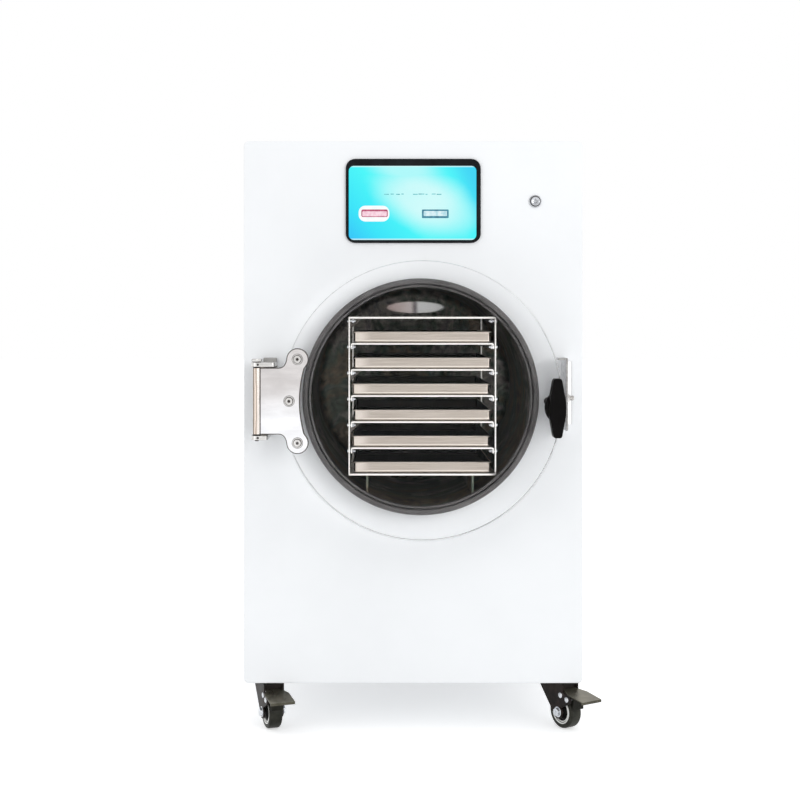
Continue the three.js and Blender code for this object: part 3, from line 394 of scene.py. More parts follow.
    def moved(self, matrix: Matrix) -> "Workpiece":
        """Moves the mesh by a matrix and leaves its object at the origin."""
        self.activate()
        self.thing.matrix_world = matrix
        bpy.ops.object.transform_apply(location=True, rotation=True, scale=True)
        return self

    def copied(self, matrix: Matrix | None = None) -> "Workpiece":
        """Makes a copy with its own mesh, moved by a matrix."""
        self.activate()
        bpy.ops.object.duplicate(linked=False)
        copy = Workpiece(bpy.context.active_object)
        return copy.moved(matrix) if matrix is not None else copy

    def dressed(self, name: str, finish: "Finish", body: str, *nodes: str, smooth: float = 35.0,
                regions: "Sequence[Region]" = ()) -> bpy.types.Object:
        """Names the piece, gives it its finish and lets it ride on its body.

        Args:
            name: The piece's name.
            finish: What it is made of.
            body: The packed body that it moves with.
            nodes: The packed nodes that it stands for.
            smooth: The angle in degrees below which its shading is smooth.
            regions: The parts of its surface that have a finish of their own.

        Returns:
            The finished object.
        """
        self.activate()
        bpy.ops.object.shade_smooth_by_angle(angle=math.radians(smooth), keep_sharp_edges=False)
        self.modified("WEIGHTED_NORMAL", keep_sharp=True)
        thing = self.thing
        thing.name = thing.data.name = name
        thing.data.materials.clear()
        thing.data.materials.append(finish.material())
        for number, region in enumerate(regions, 1):
            thing.data.materials.append(region.finish.material())
            for face in thing.data.polygons:
                if region.wanted(face.center, face.normal):
                    face.material_index = number
        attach(thing, body)
        if nodes:
            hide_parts(*nodes)
        LOG.info("%s: %d faces of %s on %s", name, len(thing.data.polygons), finish.title, body)
        return thing


# ------------------------------------------------------------------ finishes
class Slot(Enum):
    """The material slots that the part's record names."""

    PAINT = "white_paint"
    ZINC_SHEET = "zinc_sheet"
    DRUM = "drum_steel"
    SHELF = "shelf_steel"
    TRAY = "tray_steel"
    POLISHED = "polished_steel"
    FASTENER = "zinc_fastener"
    BUTTON = "button_steel"
    COPPER = "copper_tube"
    FOAM = "foam"
    GASKET = "gasket_rubber"
    ACRYLIC = "clear_acrylic"
    PLASTIC = "black_plastic"
    SCREEN = "screen"
    ENAMEL = "black_enamel"
    FORK = "fork_steel"
    PEDAL = "pedal_steel"
    TYRE = "caster_tyre"


class Recipe:
    """A node material while it is being mixed."""

    def __init__(self, title: str) -> None:
        """Starts a material with its shader and its object coordinates."""
        self.material = bpy.data.materials.new(title)
        self.material.use_nodes = True
        self.tree = self.material.node_tree
        self.tree.nodes.clear()
        self.output = self.tree.nodes.new("ShaderNodeOutputMaterial")
        self.shader = self.tree.nodes.new("ShaderNodeBsdfPrincipled")
        self.link(self.shader.outputs[0], self.output.inputs["Surface"])
        self.place = self.tree.nodes.new("ShaderNodeTexCoord").outputs["Object"]

    def link(self, source: bpy.types.NodeSocket, target: bpy.types.NodeSocket) -> None:
        """Links one socket to another."""
        self.tree.links.new(source, target)

    def node(self, kind: str, inputs: dict | None = None, **settings: object) -> bpy.types.Node:
        """Adds a node.

        Args:
            kind: The end of its type name, after ShaderNode.
            inputs: Values or sockets for its inputs, by name or number.
            settings: Its other settings.

        Returns:
            The node.
        """
        made = self.tree.nodes.new("ShaderNode" + kind)
        for name, value in settings.items():
            setattr(made, name, value)
        for key, value in (inputs or {}).items():
            if isinstance(value, bpy.types.NodeSocket):
                self.link(value, made.inputs[key])
            else:
                made.inputs[key].default_value = value
        return made

    def set(self, **values: object) -> "Recipe":
        """Sets constants on the shader's own sockets."""
        for name, value in values.items():
            self.shader.inputs[name.replace("_", " ").title().replace("Ior", "IOR")].default_value = value
        return self

    def feed(self, name: str, source: bpy.types.NodeSocket) -> "Recipe":
        """Feeds one of the shader's sockets from a pattern."""
        self.link(source, self.shader.inputs[name])
        return self

    def mapped(self, scale: Sequence[float] = (1, 1, 1), shift: Sequence[float] = (0, 0, 0),
               turn: Sequence[float] = (0, 0, 0)) -> bpy.types.NodeSocket:
        """Gives the object coordinates, moved, turned and stretched."""
        return self.node("Mapping", {"Vector": self.place, "Scale": scale, "Location": shift,
                                     "Rotation": turn}).outputs[0]

    def noise(self, scale: float, detail: float = 3.0, roughness: float = 0.5, distortion: float = 0.0,
              vector: bpy.types.NodeSocket | None = None) -> bpy.types.NodeSocket:
        """Gives a cloudy pattern between 0 and 1."""
        return self.node("TexNoise", {"Vector": vector or self.place, "Scale": scale, "Detail": detail,
                                      "Roughness": roughness, "Distortion": distortion}).outputs[0]

    def ramp(self, factor: bpy.types.NodeSocket, *stops: tuple[float, Colour]) -> bpy.types.NodeSocket:
        """Turns a value into a colour between stops."""
        made = self.node("ValToRGB", {0: factor})
        elements = made.color_ramp.elements
        while len(elements) < len(stops):
            elements.new(0.5)
        for element, (place, colour) in zip(elements, stops):
            element.position, element.color = place, colour
        return made.outputs[0]

    def span(self, value: bpy.types.NodeSocket, low: float, high: float, new_low: float = 0.0,
             new_high: float = 1.0, smooth: bool = False) -> bpy.types.NodeSocket:
        """Maps a value from one range to another, clamped."""
        kind = "SMOOTHSTEP" if smooth else "LINEAR"
        return self.node("MapRange", {0: value, 1: low, 2: high, 3: new_low, 4: new_high},
                         interpolation_type=kind).outputs[0]

    def math(self, operation: str, a: object, b: object = 0.0) -> bpy.types.NodeSocket:
        """Works out one sum of two values."""
        return self.node("Math", {0: a, 1: b}, operation=operation).outputs[0]

    def mix_value(self, share: object, a: object, b: float) -> bpy.types.NodeSocket:
        """Goes from one value to another by a share."""
        return self.math("ADD", a, self.math("MULTIPLY", share, self.math("SUBTRACT", b, a)))

    def mix(self, factor: object, a: object, b: object, blend: str = "MIX") -> bpy.types.NodeSocket:
        """Mixes two colours."""
        return self.node("Mix", {0: factor, 6: a, 7: b}, data_type="RGBA", blend_type=blend).outputs[2]

    def parts(self, vector: bpy.types.NodeSocket | None = None) -> list[bpy.types.NodeSocket]:
        """Splits a place into its x, y and z."""
        return list(self.node("SeparateXYZ", {0: vector or self.place}).outputs)

    def bump(self, height: bpy.types.NodeSocket, strength: float, distance: float) -> "Recipe":
        """Adds fine relief, on top of any that is there."""
        made = self.node("Bump", {"Height": height, "Strength": strength, "Distance": distance})
        normal = self.shader.inputs["Normal"]
        if normal.links:
            self.link(normal.links[0].from_socket, made.inputs["Normal"])
        self.link(made.outputs[0], normal)
        return self


@dataclass(frozen=True)
class Finish:
    """What a piece is made of and how its surface was finished."""

    title: str
    slot: Slot
    mixed: ClassVar[dict["Finish", bpy.types.Material]] = {}

    def mix(self, recipe: Recipe) -> None:
        """Builds the finish's pattern; each kind of finish has its own."""
        raise NotImplementedError

    def material(self) -> bpy.types.Material:
        """Gives the finish's material, mixed once."""
        if self not in Finish.mixed:
            recipe = Recipe(self.title)
            self.mix(recipe)
            Finish.mixed[self] = recipe.material
        return Finish.mixed[self]

    def apply(self, *nodes: str) -> None:
        """Gives the finish to packed nodes whose own shape stays."""
        for name in nodes:
            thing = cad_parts[name]
            thing.data.materials.clear()
            thing.data.materials.append(self.material())
            LOG.info("%s keeps its packed shape in %s", name, self.title)


@dataclass(frozen=True)
class Region:
    """A finish for those faces that a test on their middle and normal wants."""

    finish: Finish
    wanted: Callable[[Vector, Vector], bool]


def turned_from(axis: Axis, limit: float = 0.94) -> Callable[[Vector, Vector], bool]:
    """Gives a test for faces that don't face along an axis."""
    return lambda _, normal: abs(normal.dot(axis.vector)) < limit


@dataclass(frozen=True)
class PowderCoat(Finish):
    """Semi-gloss powder coat with a faint orange peel."""

    dark: Colour = tone(243, 245, 247)
    light: Colour = tone(248, 250, 252)

    def mix(self, recipe: Recipe) -> None:
        """Clouds the white a little and adds the peel."""
        cloud = recipe.noise(4.0, 4.0, 0.55)
        recipe.set(metallic=0.0, specular_ior_level=0.45, coat_weight=0.12, coat_roughness=0.2)
        recipe.feed("Base Color", recipe.ramp(cloud, (0.35, self.dark), (0.65, self.light)))
        recipe.feed("Roughness", recipe.span(recipe.noise(14.0, 3.0), 0.3, 0.7, 0.34, 0.44))
        recipe.bump(recipe.noise(700.0, 2.0), 0.05, 0.0002).bump(recipe.noise(160.0, 1.0), 0.04, 0.0004)


@dataclass(frozen=True)
class Steel(Finish):
    """Steel sheet or bar whose grain runs along one direction."""

    light: Colour = tone(214, 212, 209)
    dark: Colour = tone(172, 169, 165)
    rough: tuple[float, float] = (0.24, 0.38)
    grain: tuple[float, float, float] = (40.0, 900.0, 900.0)
    relief: float = 0.06

    def mix(self, recipe: Recipe) -> None:
        """Streaks the steel along its grain and leaves faint marks on it."""
        streak = recipe.noise(1.0, 4.0, 0.6, vector=recipe.mapped(self.grain))
        smear = recipe.noise(18.0, 5.0, 0.6, 0.4)
        both = recipe.math("ADD", recipe.math("MULTIPLY", streak, 0.6), recipe.math("MULTIPLY", smear, 0.4))
        recipe.set(metallic=1.0, anisotropic=0.25)
        recipe.feed("Base Color", recipe.ramp(both, (0.36, self.dark), (0.64, self.light)))
        recipe.feed("Roughness", recipe.span(both, 0.3, 0.7, self.rough[1], self.rough[0]))
        recipe.bump(streak, self.relief, 0.0001)


@dataclass(frozen=True)
class PolishedPlate(Finish):
    """Mirror-polished plate, warmer towards its top, with faint wiping marks."""

    # Painted reflection: the tone above, the tone below, the height where they meet and how soft the change is.
    upper_reflection: Colour = tone(212, 208, 207)
    lower_reflection: Colour = tone(240, 240, 242)
    turn_height: float = 0.49
    spread: float = 0.03

    def mix(self, recipe: Recipe) -> None:
        """Changes the tone across the plate's height and smudges its shine."""
        height = recipe.parts()[2]
        ragged = recipe.math("ADD", height, recipe.span(recipe.noise(45.0, 4.0), 0.0, 1.0, -0.012, 0.012))
        share = recipe.span(ragged, self.turn_height - self.spread, self.turn_height + self.spread, smooth=True)
        smudge = recipe.noise(1.0, 4.0, 0.6, vector=recipe.mapped((20.0, 20.0, 70.0)))
        colour = recipe.mix(share, self.lower_reflection, self.upper_reflection)
        marks = recipe.ramp(smudge, (0.35, tone(226, 225, 225)), (0.6, tone(255, 255, 255)))
        recipe.set(metallic=1.0)
        recipe.feed("Base Color", recipe.mix(0.6, colour, recipe.mix(1.0, colour, marks, "MULTIPLY")))
        recipe.feed("Roughness", recipe.span(smudge, 0.3, 0.75, 0.1, 0.24))


@dataclass(frozen=True)
class StainedSteel(Finish):
    """The drum's dull drawn steel, stained brown, green and grey inside."""

    stains: tuple[Colour, ...] = (tone(106, 100, 92), tone(178, 162, 140), tone(126, 142, 128), tone(208, 201, 195),
                                  tone(110, 108, 118))
    # The painted reflection's lens: its middle, the depth behind which it shows, its half width and half height.
    reflection_x: float = 0.012
    reflection_z: float = 0.630
    reflection_from: float = 0.100
    reflection_half: float = 0.052
    reflection_tall: float = 0.0105

    def mix(self, recipe: Recipe) -> None:
        """Mottles the steel with stains and spots, and leaves one bright lens high at the back."""
        broad = recipe.noise(9.0, 6.0, 0.62, 1.1)
        fine = recipe.noise(60.0, 5.0, 0.7, 0.6)
        stain = recipe.ramp(broad, (0.32, self.stains[0]), (0.42, self.stains[1]), (0.50, self.stains[2]),
                            (0.58, self.stains[3]), (0.68, self.stains[4]))
        spots = recipe.ramp(fine, (0.42, tone(150, 148, 146)), (0.60, tone(255, 255, 255)))
        x, y, _ = recipe.parts()
        # Painted reflection: a soft lens on the back plate, on faces deep in the drum.
        lens = recipe.node("Mapping", {"Vector": recipe.place, "Scale": (1 / self.reflection_half, 0.0, 1 / self.reflection_tall),
                                       "Location": (-self.reflection_x / self.reflection_half, 0.0,
                                                    -self.reflection_z / self.reflection_tall)})
        reach = recipe.node("VectorMath", {0: lens.outputs[0]}, operation="LENGTH").outputs["Value"]
        share = recipe.math("MULTIPLY", recipe.span(reach, 1.06, 0.86, smooth=True),
                            recipe.span(y, self.reflection_from, self.reflection_from + 0.005))
        across = recipe.span(x, self.reflection_x - self.reflection_half, self.reflection_x + self.reflection_half)
        # The painted reflection's colours: pinkish at the left, a dark divider, white at the right.
        painted_highlight = recipe.ramp(across,
                             (0.1, tone(206, 184, 180)), (0.42, tone(240, 228, 226)), (0.50, tone(120, 112, 118)),
                             (0.56, tone(255, 255, 255)), (0.95, tone(255, 255, 255)))
        recipe.set(metallic=0.65)
        recipe.feed("Base Color", recipe.mix(share, recipe.mix(0.8, stain, spots, "MULTIPLY"), painted_highlight))
        recipe.feed("Roughness", recipe.mix_value(share, recipe.span(fine, 0.3, 0.7, 0.34, 0.56), 0.2))
        recipe.bump(broad, 0.12, 0.001)


@dataclass(frozen=True)
class DrawnTray(Finish):
    """Satin tray steel, brighter along each tray's rim and foot and at its left end."""

    floor: float = 0.0
    pitch: float = 0.0382
    left: float = 0.0
    light: Colour = tone(190, 181, 172)
    dark: Colour = tone(172, 162, 152)
    # The tone of the painted highlights on each tray's rim, foot and left end.
    painted_highlight: Colour = tone(224, 215, 206)

    def mix(self, recipe: Recipe) -> None:
        """Streaks the walls along their length and lightens their edges."""
        x, _, z = recipe.parts()
        streak = recipe.noise(1.0, 4.0, 0.6, vector=recipe.mapped((14.0, 24.0, 900.0)))
        body = recipe.ramp(streak, (0.36, self.dark), (0.64, self.light))
        level = recipe.math("MODULO", recipe.math("SUBTRACT", z, self.floor - self.pitch), self.pitch)
        # Painted highlights: a band at each tray's foot and rim, and a fade at its left end.
        foot, rim = recipe.span(level, 0.0034, 0.0046, 1.0, 0.0), recipe.span(level, 0.0138, 0.0148)
        ragged = recipe.math("ADD", x, recipe.span(streak, 0.3, 0.7, -0.004, 0.004))
        end = recipe.span(ragged, self.left + 0.012, self.left + 0.026, 0.7, 0.0)
        share = recipe.math("MAXIMUM", recipe.math("MAXIMUM", foot, rim), end)
        recipe.set(metallic=1.0, anisotropic=0.2)
        recipe.feed("Base Color", recipe.mix(share, body, self.painted_highlight))
        recipe.feed("Roughness", recipe.span(streak, 0.3, 0.7, 0.48, 0.34))
        recipe.bump(streak, 0.08, 0.0001)


@dataclass(frozen=True)
class BarrelSteel(Finish):
    """Warm polished barrel steel with darker lines down its side."""

    axle: float = 0.0

    def mix(self, recipe: Recipe) -> None:
        """Runs two brown lines down the barrel, a little uneven along their length."""
        x, _, _ = recipe.parts()
        waver = recipe.noise(1.0, 3.0, 0.5, vector=recipe.mapped((40.0, 40.0, 30.0)))
        across = recipe.math("ADD", x, recipe.span(waver, 0.3, 0.7, -0.0003, 0.0003))
        place = recipe.span(across, self.axle - 0.0055, self.axle + 0.0055)
        recipe.set(metallic=1.0)
        # Painted reflections across the barrel: dark brown lines between paler bands.
        recipe.feed("Base Color", recipe.ramp(
            place, (0.02, tone(176, 160, 146)), (0.12, tone(80, 62, 50)), (0.22, tone(206, 194, 182)),
            (0.33, tone(222, 208, 196)), (0.42, tone(92, 68, 52)), (0.50, tone(206, 192, 180)),
            (0.70, tone(224, 216, 210))))
        recipe.feed("Roughness", recipe.span(waver, 0.3, 0.7, 0.16, 0.28))


@dataclass(frozen=True)
class Moulding(Finish):
    """Moulded plastic or rubber with a fine grain and a little dust."""

    body: Colour = tone(24, 22, 23)
    dusty: Colour = tone(40, 38, 39)
    rough: tuple[float, float] = (0.36, 0.5)
    grain: float = 900.0
    relief: float = 0.12
    shine: float = 0.5

    def mix(self, recipe: Recipe) -> None:
        """Adds dust in clouds and a grain all over."""
        dust = recipe.noise(30.0, 5.0, 0.65)
        recipe.set(metallic=0.0, specular_ior_level=self.shine)
        recipe.feed("Base Color", recipe.ramp(dust, (0.4, self.body), (0.75, self.dusty)))
        recipe.feed("Roughness", recipe.span(dust, 0.3, 0.7, self.rough[0], self.rough[1]))
        recipe.bump(recipe.noise(self.grain, 2.0), self.relief, 0.0002)


@dataclass(frozen=True)
class Coated(Finish):
    """Steel under a glossy dark coat that is worn a little."""

    body: Colour = tone(32, 27, 25)
    worn: Colour = tone(58, 50, 45)
    metal: float = 0.35
    rough: tuple[float, float] = (0.2, 0.36)
    coat: float = 0.0

    def mix(self, recipe: Recipe) -> None:
        """Varies the coat's depth and its gloss."""
        wear = recipe.noise(55.0, 5.0, 0.65, 0.3)
        recipe.set(metallic=self.metal, coat_weight=self.coat, coat_roughness=0.12, specular_ior_level=0.12)
        recipe.feed("Base Color", recipe.ramp(wear, (0.42, self.body), (0.72, self.worn)))
        recipe.feed("Roughness", recipe.span(wear, 0.3, 0.7, self.rough[0], self.rough[1]))
        recipe.bump(recipe.noise(420.0, 2.0), 0.06, 0.0002)


@dataclass(frozen=True)
class ClearAcrylic(Finish):
    """Clear cast acrylic that lets light through to what is behind it."""

    rough: float = 0.0
    tint: Colour = tone(254, 254, 254)
    gloss: Colour = (0.12, 0.12, 0.12, 1.0)

    def mix(self, recipe: Recipe) -> None:
        """Lets shadow rays pass, and varies the polish a little."""
        recipe.set(transmission_weight=1.0, ior=1.49, base_color=self.tint, metallic=0.0,
                   specular_tint=self.gloss)
        haze = recipe.span(recipe.noise(12.0, 3.0), 0.4, 0.8, self.rough, self.rough + 0.01)
        recipe.feed("Roughness", haze)
        path = recipe.node("LightPath")
        clear = recipe.node("BsdfTransparent", {"Color": self.tint})
        both = recipe.node("MixShader", {0: path.outputs["Is Shadow Ray"], 1: recipe.shader.outputs[0],
                                         2: clear.outputs[0]})
        recipe.link(both.outputs[0], recipe.output.inputs["Surface"])


@dataclass(frozen=True)
class LitPicture(Finish):
    """The picture on the lit display: a cyan field with a wide pale glow."""

    centre_x: float = 0.0
    centre_z: float = 0.0
    half_width: float = 0.094
    half_height: float = 0.0545

    def mix(self, recipe: Recipe) -> None:
        """Paints the field, its two deeper corners, and the glow over them."""
        x, _, z = recipe.parts()
        across = recipe.span(x, self.centre_x - self.half_width, self.centre_x + self.half_width)
        up = recipe.span(z, self.centre_z - self.half_height, self.centre_z + self.half_height)
        low_left = recipe.math("ADD", across, recipe.math("MULTIPLY", up, 0.55))
        field = recipe.ramp(low_left, (0.02, tone(24, 196, 250)), (0.26, tone(34, 228, 250)),
                            (0.62, tone(60, 248, 250)), (1.0, tone(66, 246, 250)))
        top_right = recipe.math("ADD", across, recipe.math("MULTIPLY", up, 0.25))
        field = recipe.mix(recipe.span(top_right, 0.98, 1.2, smooth=True), field, tone(46, 214, 246))
        cloud = recipe.noise(22.0, 3.0, 0.5)
        halo = recipe.math("SUBTRACT", recipe.span(self.reach(recipe, 0.018, 0.004, 0.082, 0.046, -24.0), 0.35, 1.25,
                                                   0.96, 0.0, smooth=True), recipe.span(cloud, 0.3, 0.7, 0.0, 0.12))
        upper = recipe.span(self.reach(recipe, -0.012, 0.050, 0.060, 0.026, -12.0), 0.3, 1.2, 0.6, 0.0, smooth=True)
        picture = recipe.mix(recipe.math("MAXIMUM", recipe.math("MAXIMUM", halo, upper), 0.0), field,
                             tone(214, 253, 252))
        margin = recipe.math("ABSOLUTE", recipe.math("SUBTRACT", up, 0.5))
        picture = recipe.mix(recipe.span(margin, 0.478, 0.492, 0.0, 0.75), picture, tone(226, 254, 254))
        grid = recipe.noise(2600.0, 0.0)
        picture = recipe.mix(0.06, picture, recipe.ramp(grid, (0.3, tone(120, 200, 210)), (0.7, tone(255, 255, 255))),
                             "MULTIPLY")
        recipe.set(metallic=0.0, roughness=0.12, base_color=tone(6, 20, 24), emission_strength=0.96,
                   specular_ior_level=0.4)
        recipe.feed("Emission Color", picture)

    def reach(self, recipe: Recipe, u: float, v: float, half: float, tall: float, turn: float
              ) -> bpy.types.NodeSocket:
        """Gives how far a place lies from the middle of a turned oval, in its own radii.

        Args:
            recipe: The material.
            u, v: The oval's middle, from the middle of the display.
            half, tall: Half its length and half its height.
            turn: How far it is turned, in degrees, anticlockwise from the front.

        Returns:
            Nothing at its middle, and 1 on its rim.
        """
        centred = recipe.node("VectorMath", {0: recipe.place, 1: (self.centre_x + u, 0.0, self.centre_z + v)},
                              operation="SUBTRACT")
        turned = recipe.node("Mapping", {"Vector": centred.outputs[0], "Rotation": (0, math.radians(turn), 0)})
        scaled = recipe.node("VectorMath", {0: turned.outputs[0], 1: (1 / half, 0.0, 1 / tall)}, operation="MULTIPLY")
        return recipe.node("VectorMath", {0: scaled.outputs[0]}, operation="LENGTH").outputs["Value"]


@dataclass(frozen=True)
class LitMark(Finish):
    """A plain field of colour on the lit display."""

    colour: Colour = tone(255, 255, 255)
    shade: Colour = tone(235, 240, 242)

    def mix(self, recipe: Recipe) -> None:
        """Lights the field, a little uneven."""
        recipe.set(metallic=0.0, roughness=0.12, base_color=tone(6, 20, 24), emission_strength=0.96)
        cloud = recipe.noise(160.0, 2.0)
        recipe.feed("Emission Color", recipe.ramp(cloud, (0.35, self.shade), (0.6, self.colour)))


PAINT = PowderCoat("powder_coat", Slot.PAINT)
ZINC_SHEET = Steel("zinc_sheet", Slot.ZINC_SHEET, tone(196, 200, 204), tone(158, 162, 167), (0.34, 0.5),
                   (60.0, 60.0, 60.0), 0.05)
PORT_STEEL = Steel("turned_steel", Slot.DRUM, tone(208, 206, 203), tone(166, 164, 160), (0.2, 0.34),
                   (500.0, 40.0, 500.0))
DRUM_STEEL = StainedSteel("stained_drum", Slot.DRUM)
RACK_STEEL = Steel("bright_rack", Slot.SHELF, tone(252, 250, 247), tone(232, 228, 223), (0.22, 0.34),
                   (40.0, 900.0, 900.0))
# Painted shade: darkened copies of the rack steel for the gussets' faces and, a little lighter, for their cut edges.
GUSSET_SHADE = Steel("gusset_painted_shade", Slot.SHELF, tone(98, 94, 90), tone(70, 66, 62), (0.3, 0.42))
GUSSET_EDGE_SHADE = Steel("gusset_edge_painted_shade", Slot.SHELF, tone(176, 170, 164), tone(140, 134, 128))
HINGE_STEEL = PolishedPlate("polished_hinge", Slot.POLISHED)
# The hinge plate's cut sides: darker steel, partly the duller sheared edge and partly painted shade.
EDGE_SHADE_STEEL = Steel("cut_edge_painted_shade", Slot.POLISHED, tone(98, 94, 92), tone(66, 62, 60), (0.24, 0.38), (90.0, 90.0, 300.0),
                   0.04)
STRAP_STEEL = Steel("brushed_strap", Slot.POLISHED, tone(252, 252, 253), tone(230, 230, 232), (0.36, 0.5),
                    (90.0, 90.0, 300.0), 0.04)
# Grey painted shade: a darkened copy of the strap steel for the strap's edges, its foot's corner and the flange
# behind the top arm.
GREY_SHADE_STEEL = Steel("steel_painted_grey_shade", Slot.POLISHED, tone(178, 177, 175), tone(138, 136, 134), (0.24, 0.38),
                   (90.0, 90.0, 300.0), 0.04)
SCREW_STEEL = Steel("screw_steel", Slot.FASTENER, tone(226, 224, 222), tone(186, 183, 180), (0.18, 0.3),
                    (200.0, 200.0, 200.0), 0.03)
# Dark painted shade for the sides, grooves and hollows of the screws, the pin and the arms' sunk marks.
DARK_SHADE_STEEL = Steel("steel_painted_dark_shade", Slot.FASTENER, tone(92, 88, 86), tone(54, 50, 48), (0.24, 0.38),
                     (200.0, 200.0, 200.0), 0.03)
# Painted shade: the trays' insides in a darkened copy of the drum's mottled steel, with no painted reflection.
TRAY_INSIDE_SHADE = StainedSteel("tray_inside_painted_shade", Slot.TRAY, (tone(30, 26, 22), tone(52, 44, 38), tone(38, 34, 30),
                                                           tone(62, 56, 52), tone(28, 25, 24)), reflection_from=9.0)
BRACKET_STEEL = Steel("polished_bracket", Slot.POLISHED, tone(226, 225, 224), tone(180, 177, 173), (0.12, 0.26),
                      (60.0, 60.0, 900.0), 0.03)
PLATED = Steel("bright_plating", Slot.FASTENER, tone(226, 228, 231), tone(178, 181, 186), (0.16, 0.3),
               (300.0, 300.0, 300.0), 0.03)
BUTTON_STEEL = Steel("turned_button", Slot.BUTTON, tone(214, 216, 220), tone(150, 153, 158), (0.18, 0.3),
                     (700.0, 60.0, 700.0), 0.03)
COPPER = Steel("drawn_copper", Slot.COPPER, tone(214, 148, 110), tone(150, 92, 62), (0.22, 0.4),
               (80.0, 80.0, 80.0), 0.04)
FOAM = Moulding("sprayed_foam", Slot.FOAM, tone(206, 196, 158), tone(232, 224, 190), (0.8, 0.95), 120.0, 0.8, 0.2)
GASKET_RUBBER = Moulding("gasket_rubber", Slot.GASKET, tone(88, 86, 86), tone(112, 110, 110), (0.4, 0.56),
                         650.0, 0.1, 0.15)
ACRYLIC = ClearAcrylic("clear_acrylic", Slot.ACRYLIC)
PLASTIC = Moulding("black_moulding", Slot.PLASTIC, tone(9, 8, 8), tone(16, 14, 14), (0.34, 0.46), shine=0.05)
BEZEL_PLASTIC = Moulding("bezel_moulding", Slot.PLASTIC, tone(14, 16, 18), tone(30, 33, 36), (0.28, 0.4), shine=0.1)
ENAMEL = Coated("black_enamel", Slot.ENAMEL, tone(22, 22, 24), tone(38, 38, 40), 0.1)
FORK_COAT = Coated("fork_coat", Slot.FORK, tone(26, 21, 20), tone(56, 47, 43), 0.0, (0.36, 0.5))
PEDAL_COAT = Coated("pedal_coat", Slot.PEDAL, tone(112, 108, 96), tone(142, 138, 124), 0.8, (0.24, 0.38))
# Painted light on the pedals: a lighter sloped rim as a painted highlight, a darker lip and a near-black shoe as
# painted shade.
PEDAL_RIM_HIGHLIGHT = Coated("pedal_rim_painted_highlight", Slot.PEDAL, tone(160, 157, 146), tone(196, 193, 182), 0.8, (0.24, 0.38))
PEDAL_LIP_SHADE = Coated("pedal_lip_painted_shade", Slot.PEDAL, tone(72, 70, 60), tone(96, 93, 82), 0.6, (0.3, 0.44))
PEDAL_SHOE_SHADE = Coated("pedal_shoe_painted_shade", Slot.PEDAL, tone(26, 26, 20), tone(46, 45, 38), 0.0, (0.36, 0.5))
TYRE_RUBBER = Moulding("tyre_rubber", Slot.TYRE, tone(36, 36, 30), tone(70, 70, 62), (0.36, 0.52), 500.0, 0.12, 0.15)
HUB_CORE = Moulding("hub_core", Slot.TYRE, tone(14, 14, 14), tone(26, 26, 25), (0.3, 0.42), shine=0.1)
HUB_RING = Moulding("hub_ring", Slot.TYRE, tone(244, 244, 240), tone(254, 254, 252), (0.3, 0.42), 600.0, 0.04)


